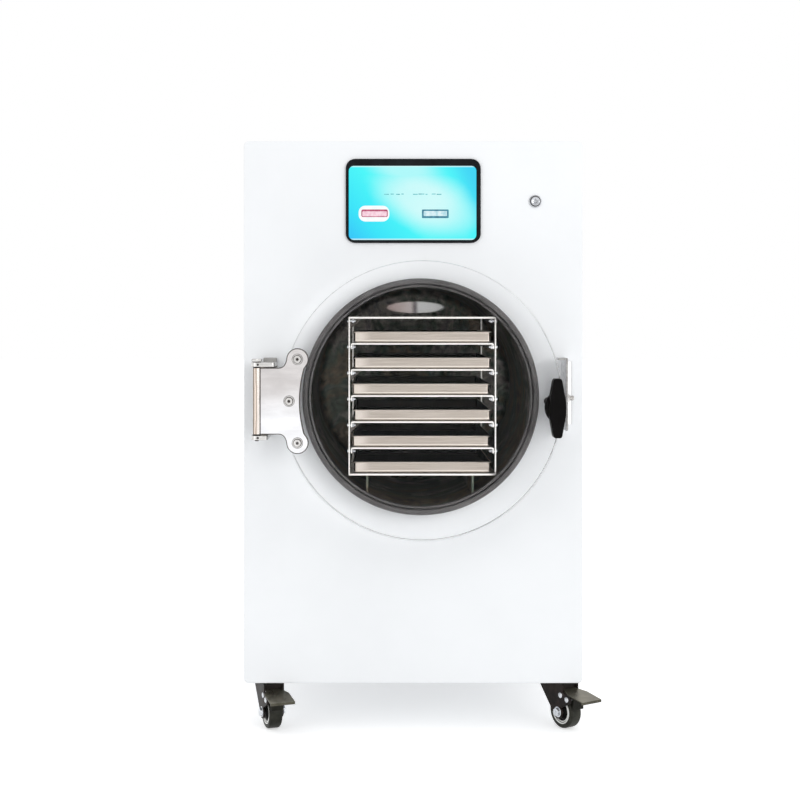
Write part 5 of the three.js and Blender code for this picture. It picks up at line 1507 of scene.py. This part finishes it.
# ------------------------------------------------------------------ latch
@dataclass
class Latch:
    """The quarter-turn handle with its tongue, and the keeper that it catches."""

    length: float = 0.084
    middle_width: float = 0.023
    end_width: float = 0.012
    boss_height: float = 0.012

    def build(self) -> None:
        """Builds the handle, the tongue, the strap and its stud."""
        self.handle()
        Workpiece.from_node("latch_cam").rounded(0.0004, 2, 40).dressed("latch_tongue", BRACKET_STEEL, "handle",
                                                                          "latch_cam")
        self.keeper()
        self.stud()

    def handle(self) -> None:
        """Moulds the tapered wing on its oval boss."""
        low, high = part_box("door_handle")
        x, z = (low.x + high.x) / 2, (low.z + high.z) / 2
        mid, end, half = self.middle_width / 2, self.end_width / 2, self.length / 2
        quarter = [(mid, 0.0084), (mid - 0.001, 0.0151), (end, half - 0.002), (end - 0.0015, half)]
        upper = quarter + [(-u, v) for u, v in reversed(quarter)]
        wing = [(x + u, z + v) for u, v in upper + [(-u, -v) for u, v in upper]]
        seam = high.y - self.boss_height
        blade = Workpiece.plate(Axis.Y, wing, seam + 0.0005, low.y).rounded(0.0025, 4, 20)
        oval = [(x + 0.0155 * math.cos(t), z + 0.021 * math.sin(t)) for t in (math.tau * i / 48 for i in range(48))]

        def shrunk(share: float) -> list[Point]:
            """Gives the boss's outline, drawn in by a length."""
            return [(u - share * math.copysign(abs(u - x) / 0.0155, u - x),
                     v - share * math.copysign(abs(v - z) / 0.021, v - z)) for u, v in oval]

        rings = [(shrunk(0.0006), high.y), (shrunk(0.0), high.y - 0.0008), (shrunk(0.0), seam + 0.004)]
        rings += [(shrunk(i * 1.6), seam + r) for i, r in quarter_round(0.003, 4)][1:]
        boss = Workpiece.loft(Axis.Y, rings)
        body = blade.fused(boss)
        body.cut(Workpiece.rod(Axis.Y, 0.0053, high.y - 0.0143, high.y + 0.001, (x, 0, z), 32))
        body.dressed("latch_handle", PLASTIC, "handle", "door_handle")

    def keeper(self) -> None:
        """Folds the strap beside the door's rim, with its foot and its hook."""
        low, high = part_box("keeper_bracket")
        strap = low.x + 0.010
        side = rounded_rectangle((low.y, low.z), (high.y, high.z), 0.006, 6)
        body = Workpiece.plate(Axis.X, side, strap, strap + 0.003).rounded(0.0005, 2)
        foot = Workpiece.block((strap + 0.001, high.y - 0.003, low.z + 0.006), (high.x, high.y, high.z - 0.006))
        hook = Workpiece.block((low.x, low.y + 0.008, high.z - 0.003), (strap + 0.003, high.y - 0.014, high.z))
        body.fused(foot.rounded(0.0006, 2), hook.rounded(0.0006, 2))
        bolt = middle("keeper_bolt")
        body.cut(Workpiece.rod(Axis.X, 0.0043, strap - 0.001, strap + 0.004, bolt, 32))
        # Painted shade: the strap's edges and the corner of its foot by the panel take the grey shade.
        rim = Region(GREY_SHADE_STEEL, lambda middle, normal: abs(normal.x) < 0.94 and middle.x < strap + 0.0031)
        corner = Region(GREY_SHADE_STEEL, lambda middle, _: middle.x > high.x - 0.0014 and middle.y > high.y - 0.004)
        body.dressed("keeper_strap", STRAP_STEEL, "cabinet", "keeper_bracket", regions=[rim, corner])

    def stud(self) -> None:
        """Turns the threaded stud and puts its nut against the strap."""
        low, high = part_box("keeper_bolt")
        centre = (low + high) / 2
        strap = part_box("keeper_bracket")[0].x + 0.013
        root, crest, pitch = 0.0034, 0.004, 0.00125
        profile = [(0.0, low.x), (root, low.x)]
        turns = int((high.x - low.x - 0.001) / pitch)
        for i in range(turns):
            at = low.x + 0.0004 + i * pitch
            profile += [(root, at), (crest, at + pitch * 0.45), (crest, at + pitch * 0.6), (root, at + pitch * 0.95)]
        profile += [(root, high.x), (0.0, high.x)]
        stud = Workpiece.lathe(Axis.X, profile, centre, 32)
        nut = Workpiece.rod(Axis.X, 0.0065, strap + 0.0003, strap + 0.0053, centre, 6).rounded(0.0006, 2)
        stud.joined(nut).dressed("keeper_stud", SCREW_STEEL, "cabinet", "keeper_bolt")


# ------------------------------------------------------------------ controls
@dataclass
class ControlPanel:
    """The screen in its black frame, and the round steel push button."""

    corner: float = 0.014
    opening: float = 0.0075
    proud: float = 0.004

    def build(self) -> None:
        """Builds the frame, the display with its fields of colour, and the button."""
        self.low, self.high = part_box("touch_screen")
        self.frame()
        self.display()
        self.fields()
        self.button()

    def frame(self) -> None:
        """Moulds the frame and the housing behind it in one piece."""
        low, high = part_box("screen_bezel")
        outer = ((low.x, low.z), (high.x, high.z), self.corner)
        module = ((low.x + 0.007, low.z + 0.007), (high.x - 0.007, high.z - 0.007), 0.004)
        inner = ((self.low.x, self.low.z), (self.high.x, self.high.z), self.opening)
        back = low.y + self.proud
        rings = [(inset_rectangle(*module, 0.0006), high.y), (inset_rectangle(*module, 0.0), high.y - 0.0006),
                 (inset_rectangle(*module, 0.0), back), (inset_rectangle(*outer, 0.0), back)]
        rings += [(inset_rectangle(*outer, i), low.y + r) for i, r in quarter_round(0.0016, 4)]
        rings += [(inset_rectangle(*inner, -0.0007), low.y), (inset_rectangle(*inner, -0.0003), low.y + 0.0004),
                  (inset_rectangle(*inner, -0.0003), self.high.y + 0.0003)]
        Workpiece.loft(Axis.Y, rings).dressed("screen_frame", BEZEL_PLASTIC, "cabinet", "screen_bezel")

    def display(self) -> None:
        """Lays the lit glass in the frame."""
        corners = ((self.low.x, self.low.z), (self.high.x, self.high.z), self.opening)
        rings = [(inset_rectangle(*corners, 0.0), self.high.y), (inset_rectangle(*corners, 0.0), self.low.y + 0.0003),
                 (inset_rectangle(*corners, 0.0003), self.low.y)]
        centre = (self.low + self.high) / 2
        picture = LitPicture("lit_picture", Slot.SCREEN, centre.x, centre.z, (self.high.x - self.low.x) / 2,
                             (self.high.z - self.low.z) / 2)
        Workpiece.loft(Axis.Y, rings).dressed("display_glass", picture, "cabinet", "touch_screen")

    def fields(self) -> None:
        """Lays the touch fields over the picture: a white pill, two bars and a line of dashes."""
        white = LitMark("lit_white", Slot.SCREEN, tone(255, 255, 255), tone(244, 252, 252))
        rose = LitMark("lit_rose", Slot.SCREEN, tone(196, 88, 120), tone(160, 52, 88))
        blush = LitMark("lit_blush", Slot.SCREEN, tone(252, 222, 232), tone(240, 184, 204))
        teal = LitMark("lit_teal", Slot.SCREEN, tone(58, 142, 164), tone(36, 108, 134))
        pale = LitMark("lit_pale", Slot.SCREEN, tone(226, 246, 250), tone(176, 220, 230))
        mark = LitMark("lit_dash", Slot.SCREEN, tone(120, 206, 210), tone(72, 160, 170))
        self.field("pill", white, -0.0568, -0.0158, 0.0227, 0.0117, 0.0100, 1)
        self.field("left_bar", rose, -0.0560, -0.0153, 0.0195, 0.0056, 0.0024, 2)
        self.field("left_bar_face", blush, -0.0560, -0.0161, 0.0181, 0.0037, 0.0018, 3)
        self.field("right_bar", teal, 0.0335, -0.0161, 0.0197, 0.0064, 0.0012, 1)
        self.field("right_bar_face", pale, 0.0335, -0.0157, 0.0172, 0.0037, 0.0008, 2)
        dashes = [(-0.0385, 0.0038), (-0.0298, 0.0026), (-0.0215, 0.0030), (-0.0148, 0.0018), (0.0040, 0.0036),
                  (0.0130, 0.0044), (0.0205, 0.0016), (0.0310, 0.0030), (0.0390, 0.0036)]
        pieces = [self.field("", mark, u, 0.0126 + 0.0004 * (i % 2), half, 0.0007, 0.0004, 1)
                  for i, (u, half) in enumerate(dashes)]
        pieces[0].joined(*pieces[1:]).dressed("field_dashes", mark, "cabinet")

    def field(self, name: str, finish: LitMark, u: float, v: float, half: float, tall: float, radius: float,
              layer: int) -> Workpiece:
        """Makes one thin field of colour on the display.

        Args:
            name: Its name, or nothing if it is joined to others later.
            finish: Its colour.
            u, v: Its middle, from the middle of the display.
            half, tall: Half its width and half its height.
            radius: The radius of its corners.
            layer: Which layer it lies in, counted from the glass.

        Returns:
            The field.
        """
        centre = (self.low + self.high) / 2
        shape = ((centre.x + u - half, centre.z + v - tall), (centre.x + u + half, centre.z + v + tall), radius)
        face = self.low.y - 0.00012 * layer
        rings = [(inset_rectangle(*shape, 0.0), face + 0.0001), (inset_rectangle(*shape, 0.0), face),
                 (inset_rectangle(*shape, 0.00008), face - 0.00006)]
        piece = Workpiece.loft(Axis.Y, rings)
        if name:
            piece.dressed(f"field_{name}", finish, "cabinet")
        return piece

    def button(self) -> None:
        """Turns the button's collar and its dished cap, with a dark ring between."""
        low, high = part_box("button_ring")
        at = (low + high) / 2
        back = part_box("front_panel")[0].y - 0.0003
        face, bore = low.y, 0.00669
        profile = [(bore, face + 0.0008), (0.0069, face + 0.0008), (0.0072, face + 0.0006), (0.0079, face + 0.0006),
                   (0.0081, face), (0.0084, face), (0.0089, face + 0.0003), (0.0092, face + 0.0010), (0.0092, back),
                   (0.0078, back), (0.0078, high.y), (bore, high.y)]
        Workpiece.lathe(Axis.Y, profile, at, 64).dressed("button_collar", BUTTON_STEEL, "cabinet", "button_ring")
        ring = arc(at.x, at.z, 0.0074, 0, 352.5, 47)
        Workpiece.tube([(x, face + 0.0006, z) for x, z in ring], 0.0006, closed=True).dressed(
            "button_seal", GASKET_RUBBER, "cabinet")
        low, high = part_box("button_cap")
        r = 0.0066
        profile = [(0.0, low.y + 0.0008), (0.0022, low.y + 0.00074), (0.0040, low.y + 0.00048),
                   (0.0050, low.y + 0.0001),
                   (0.0054, low.y), (0.0060, low.y), (0.0064, low.y + 0.0002), (r, low.y + 0.0006), (r, high.y),
                   (0.0, high.y)]
        Workpiece.lathe(Axis.Y, profile, at, 64).dressed("button_face", BUTTON_STEEL, "button", "button_cap")
        sign = arc(at.x, at.z, 0.0026, 130, 410, 28)
        mark = Workpiece.tube([(x, low.y + 0.00066, z) for x, z in sign], 0.00026)
        bar = Workpiece.tube([(at.x, low.y + 0.0006, at.z + 0.0010), (at.x, low.y + 0.0006, at.z + 0.0032)], 0.00026)
        mark.joined(bar).dressed("button_sign", PLASTIC, "button")


# ------------------------------------------------------------------ casters
@dataclass
class Casters:
    """Four braked swivel casters, modelled once and turned as each one stands."""

    radius: float = 0.025
    trail: float = 0.020
    half: float = 0.010
    inside: float = 0.013
    sheet: float = 0.0025
    head: float = 0.065
    pedal_x: float = 0.040
    pedal_z: float = 0.047

    # Painted light on each pedal: highlight on the sloped rim, shade on the lip and on the shoe below.
    pedal_light_and_shade: ClassVar[list[Region]] = [
        Region(PEDAL_RIM_HIGHLIGHT, lambda middle, normal: middle.z > 0.0485 and 0.3 < normal.z < 0.955),
        Region(PEDAL_LIP_SHADE, lambda middle, normal: middle.z > 0.0460 and normal.z <= 0.3),
        Region(PEDAL_SHOE_SHADE, lambda middle, _: middle.z <= 0.0460)]
    turns: ClassVar[dict[str, float]] = {"front_left": -70.0, "front_right": -56.0, "rear_left": 124.0,
                                         "rear_right": 110.0}

    def build(self) -> None:
        """Models each piece at the origin, then copies it to its four places."""
        plate, bolts = self.plate()
        fork, fasteners = self.fork(), self.fasteners()
        tyre, core, rings = self.tyre(), self.core(), self.hub_rings()
        originals = (plate, bolts, fork, fasteners, tyre, core, rings)
        for place, turn in self.turns.items():
            at = middle(f"caster_plate_{place}")
            square = Matrix.Translation((at.x, at.y, 0))
            matrix = square @ Matrix.Rotation(math.radians(turn), 4, "Z")
            swivel, wheel = f"swivel_{place}", f"wheel_{place}"
            plate.copied(square).dressed(f"mount_{place}", ZINC_SHEET, "cabinet", f"caster_plate_{place}")
            bolts.copied(square).dressed(f"mount_bolts_{place}", PLATED, "cabinet")
            fork.copied(matrix).dressed(f"fork_{place}", FORK_COAT, swivel, f"caster_fork_{place}")
            fasteners.copied(matrix).dressed(f"axle_{place}", PLATED, swivel)
            tyre.copied(matrix).dressed(f"tyre_{place}", TYRE_RUBBER, wheel, f"caster_wheel_{place}")
            core.copied(matrix).dressed(f"hub_{place}", HUB_CORE, wheel)
            rings.copied(matrix).dressed(f"hub_rings_{place}", HUB_RING, wheel)
            pedal = Workpiece.from_node(f"brake_pedal_{place}").rounded(0.0006, 2, 25)
            pedal.dressed(f"pedal_{place}", PEDAL_COAT, f"pedal_{place}", f"brake_pedal_{place}", regions=self.pedal_light_and_shade)
        for piece in originals:
            bpy.data.objects.remove(piece.thing)

    def plate(self) -> tuple[Workpiece, Workpiece]:
        """Makes the square plate with its ball race, and its four low bolts."""
        top, half = self.head + 0.0067, 0.027
        body = Workpiece.plate(Axis.Z, rounded_rectangle((-half, -half), (half, half), 0.006, 6), top - 0.002, top)
        body.rounded(0.0004, 2)
        low = self.head + self.sheet + 0.0003
        race = [(0.0, self.head - 0.0025), (0.0072, self.head - 0.0025), (0.008, self.head - 0.0018),
                (0.008, self.head - 0.0003), (0.004, self.head - 0.0003), (0.004, low), (0.0165, low),
                (0.018, low + 0.0012), (0.018, top - 0.0015), (0.0, top - 0.0015)]
        body.fused(Workpiece.lathe(Axis.Z, race, (0, 0, 0), 48))
        heads = []
        for x in (-0.019, 0.019):
            for y in (-0.019, 0.019):
                dome = [(0.0, top - 0.0035), (0.0024, top - 0.0034), (0.0042, top - 0.0028), (0.0048, top - 0.0019),
                        (0.0, top - 0.0019)]
                heads.append(Workpiece.lathe(Axis.Z, dome, (x, y, 0), 20))
        return body, heads[0].joined(*heads[1:])

    def fork(self) -> Workpiece:
        """Presses the crown and the two cheeks that narrow to the axle."""
        top, crown, outside = self.head + self.sheet, -0.022, self.inside + self.sheet
        back = self.pedal_x - 0.009
        cheek = [(crown, top), (crown + self.sheet, top - 0.009)]
        cheek += arc(self.trail, self.radius, 0.010, 200, 405, 20)
        cheek += [(self.pedal_x + 0.008, self.pedal_z - 0.004), (self.pedal_x + 0.008, self.pedal_z + 0.003),
                  (self.pedal_x + 0.006, self.pedal_z + 0.0055), (back, self.pedal_z + 0.009), (back, top)]
        sheet = rounded_rectangle((crown, -outside), (back, outside), 0.003, 5)
        body = Workpiece.plate(Axis.Z, sheet, self.head, top)
        for start, end in ((-outside, -self.inside), (self.inside, outside)):
            body.fused(Workpiece.plate(Axis.Y, cheek, start, end))
        web = Workpiece.block((0.0250, -self.inside - 0.0005, self.pedal_z + 0.0100),
                              (0.0272, self.inside + 0.0005, self.head + 0.0005))
        body.fused(web).cut(Workpiece.rod(Axis.Z, 0.0041, self.head - 0.001, top + 0.001, (0, 0, 0), 24))
        return body.rounded(0.0005, 2, 40)

    def fasteners(self) -> Workpiece:
        """Makes the axle bolt with its nut, and two domed rivets on each cheek."""
        outside = self.inside + self.sheet
        at = (self.trail, 0, self.radius)
        body = Workpiece.rod(Axis.Y, 0.004, -outside, outside, at, 24)
        for side in (-1, 1):
            start, end = side * outside, side * (outside + 0.004)
            body.joined(Workpiece.rod(Axis.Y, 0.0066, min(start, end), max(start, end), at, 6).rounded(0.0006, 2))
            washer = [(0.0, start), (0.0076, start), (0.0078, start + side * 0.0005), (0.0074, start + side * 0.0008),
                      (0.0, start + side * 0.0008)]
            body.joined(Workpiece.lathe(Axis.Y, washer, at, 32))
            for x, z in ((self.pedal_x, self.pedal_z), (self.pedal_x - 0.0140, self.pedal_z + 0.0040)):
                dome = [(0.0, start), (0.0042, start), (0.0040, start + side * 0.0006),
                        (0.0028, start + side * 0.0012),
                        (0.0, start + side * 0.0014)]
                body.joined(Workpiece.lathe(Axis.Y, dome, (x, 0, z), 20))
        pin = Workpiece.rod(Axis.Y, 0.0022, -outside, outside, (self.pedal_x, 0, self.pedal_z), 20)
        return body.joined(pin)

    def tyre(self) -> Workpiece:
        """Turns the tread with its rounded shoulders and a faint crown."""
        rim, r, half = 0.019, self.radius, self.half
        shoulder = [(r - i, half - d) for i, d in quarter_round(0.0034, 4)]
        profile = [(rim, -half + 0.0006), (rim + 0.0006, -half)]
        profile += [(a, -b) for a, b in reversed(shoulder)] + [(r - 0.00005, 0.0)] + shoulder
        profile += [(rim + 0.0006, half), (rim, half - 0.0006)]
        return Workpiece.lathe(Axis.Y, profile, (self.trail, 0, r), 64)

    def core(self) -> Workpiece:
        """Turns the dark hub, dished on both sides, with a boss that stands out."""
        half = self.half
        side = [(0.0191, half - 0.0012), (0.0186, half - 0.0008), (0.0176, half - 0.0020), (0.0170, half - 0.0026),
                (0.0128, half - 0.0026), (0.0112, half - 0.0020), (0.0106, half + 0.0006), (0.0100, half + 0.001),
                (0.0062, half + 0.001), (0.0058, half + 0.0004), (0.00409, half + 0.0004)]
        profile = [(r, -y) for r, y in reversed(side)] + side
        return Workpiece.lathe(Axis.Y, profile, (self.trail, 0, self.radius), 64)

    def hub_rings(self) -> Workpiece:
        """Turns the two pale rings on each side of the hub."""
        rings = []
        for side in (-1, 1):
            for inner, outer, face in ((0.0166, 0.0187, self.half - 0.0002), (0.0140, 0.0158, self.half - 0.0010)):
                section = [(inner, side * (face - 0.0012)), (inner + 0.0001, side * (face - 0.0003)),
                           (inner + 0.0004, side * face), (outer - 0.0004, side * face),
                           (outer - 0.0001, side * (face - 0.0003)), (outer, side * (face - 0.0012))]
                rings.append(Workpiece.lathe(Axis.Y, section, (self.trail, 0, self.radius), 64))
        return rings[0].joined(*rings[1:])


# ------------------------------------------------------------------ rear and inside
@dataclass
class RearFittings:
    """The pump port and the mains inlet behind the cabinet."""

    bore: float = 0.010
    pipe: float = 0.013
    flange: float = 0.020

    def build(self) -> None:
        """Turns the port and dresses the inlet."""
        low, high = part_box("vacuum_port")
        end = high.y
        profile = [(self.bore, low.y), (self.pipe, low.y), (self.pipe, end - 0.011), (self.flange, end - 0.005),
                   (self.flange, end - 0.0004), (self.flange - 0.0004, end), (0.0135, end), (0.0132, end - 0.0012),
                   (self.bore + 0.0012, end - 0.0012), (self.bore, end - 0.002)]
        Workpiece.lathe(Axis.Y, profile, (low + high) / 2, 72).dressed("pump_port", PORT_STEEL, "cabinet",
                                                                      "vacuum_port")
        Workpiece.from_node("power_inlet").rounded(0.0003, 2, 40).dressed("mains_inlet", PLASTIC, "cabinet",
                                                                           "power_inlet")
        self.blades()

    def blades(self) -> None:
        """Sleeves the inlet's three blades in plated metal."""
        low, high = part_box("power_inlet")
        at = (low + high) / 2
        blades = []
        for beside, lift in ((-0.007, -0.001), (0.0, 0.003), (0.007, -0.001)):
            corner = Vector((at.x + beside, high.y, at.z + lift))
            blade = Workpiece.block(corner + Vector((-0.0011, -0.0159, -0.0031)),
                                    corner + Vector((0.0011, -0.0029, 0.0031)))
            blades.append(blade.rounded(0.0004, 2))
        blades[0].joined(*blades[1:]).dressed("inlet_blades", PLATED, "cabinet")


@dataclass
class Machinery:
    """The refrigeration unit and the control box, in their packed shapes."""

    def build(self) -> None:
        """Gives each piece its finish."""
        ENAMEL.apply("compressor", "condenser")
        PLASTIC.apply("fan_rotor")
        ZINC_SHEET.apply("control_box")


def corners(box: tuple[Vector, Vector]) -> list[list[float]]:
    """Writes a box's two corners as plain numbers."""
    return [[float(v) for v in corner] for corner in box]


def main() -> None:
    """Builds the scene, class by class, and keeps both boxes."""
    logging.basicConfig(level=logging.INFO, format="%(message)s")
    for assembly in (Studio(), CabinetShell(), VacuumChamber(), Door(), Latch(), ControlPanel(), Casters(),
                     RearFittings(), Machinery()):
        assembly.build()
        LOG.info("built: %s", type(assembly).__doc__)


if __name__ == "__main__":
    main()
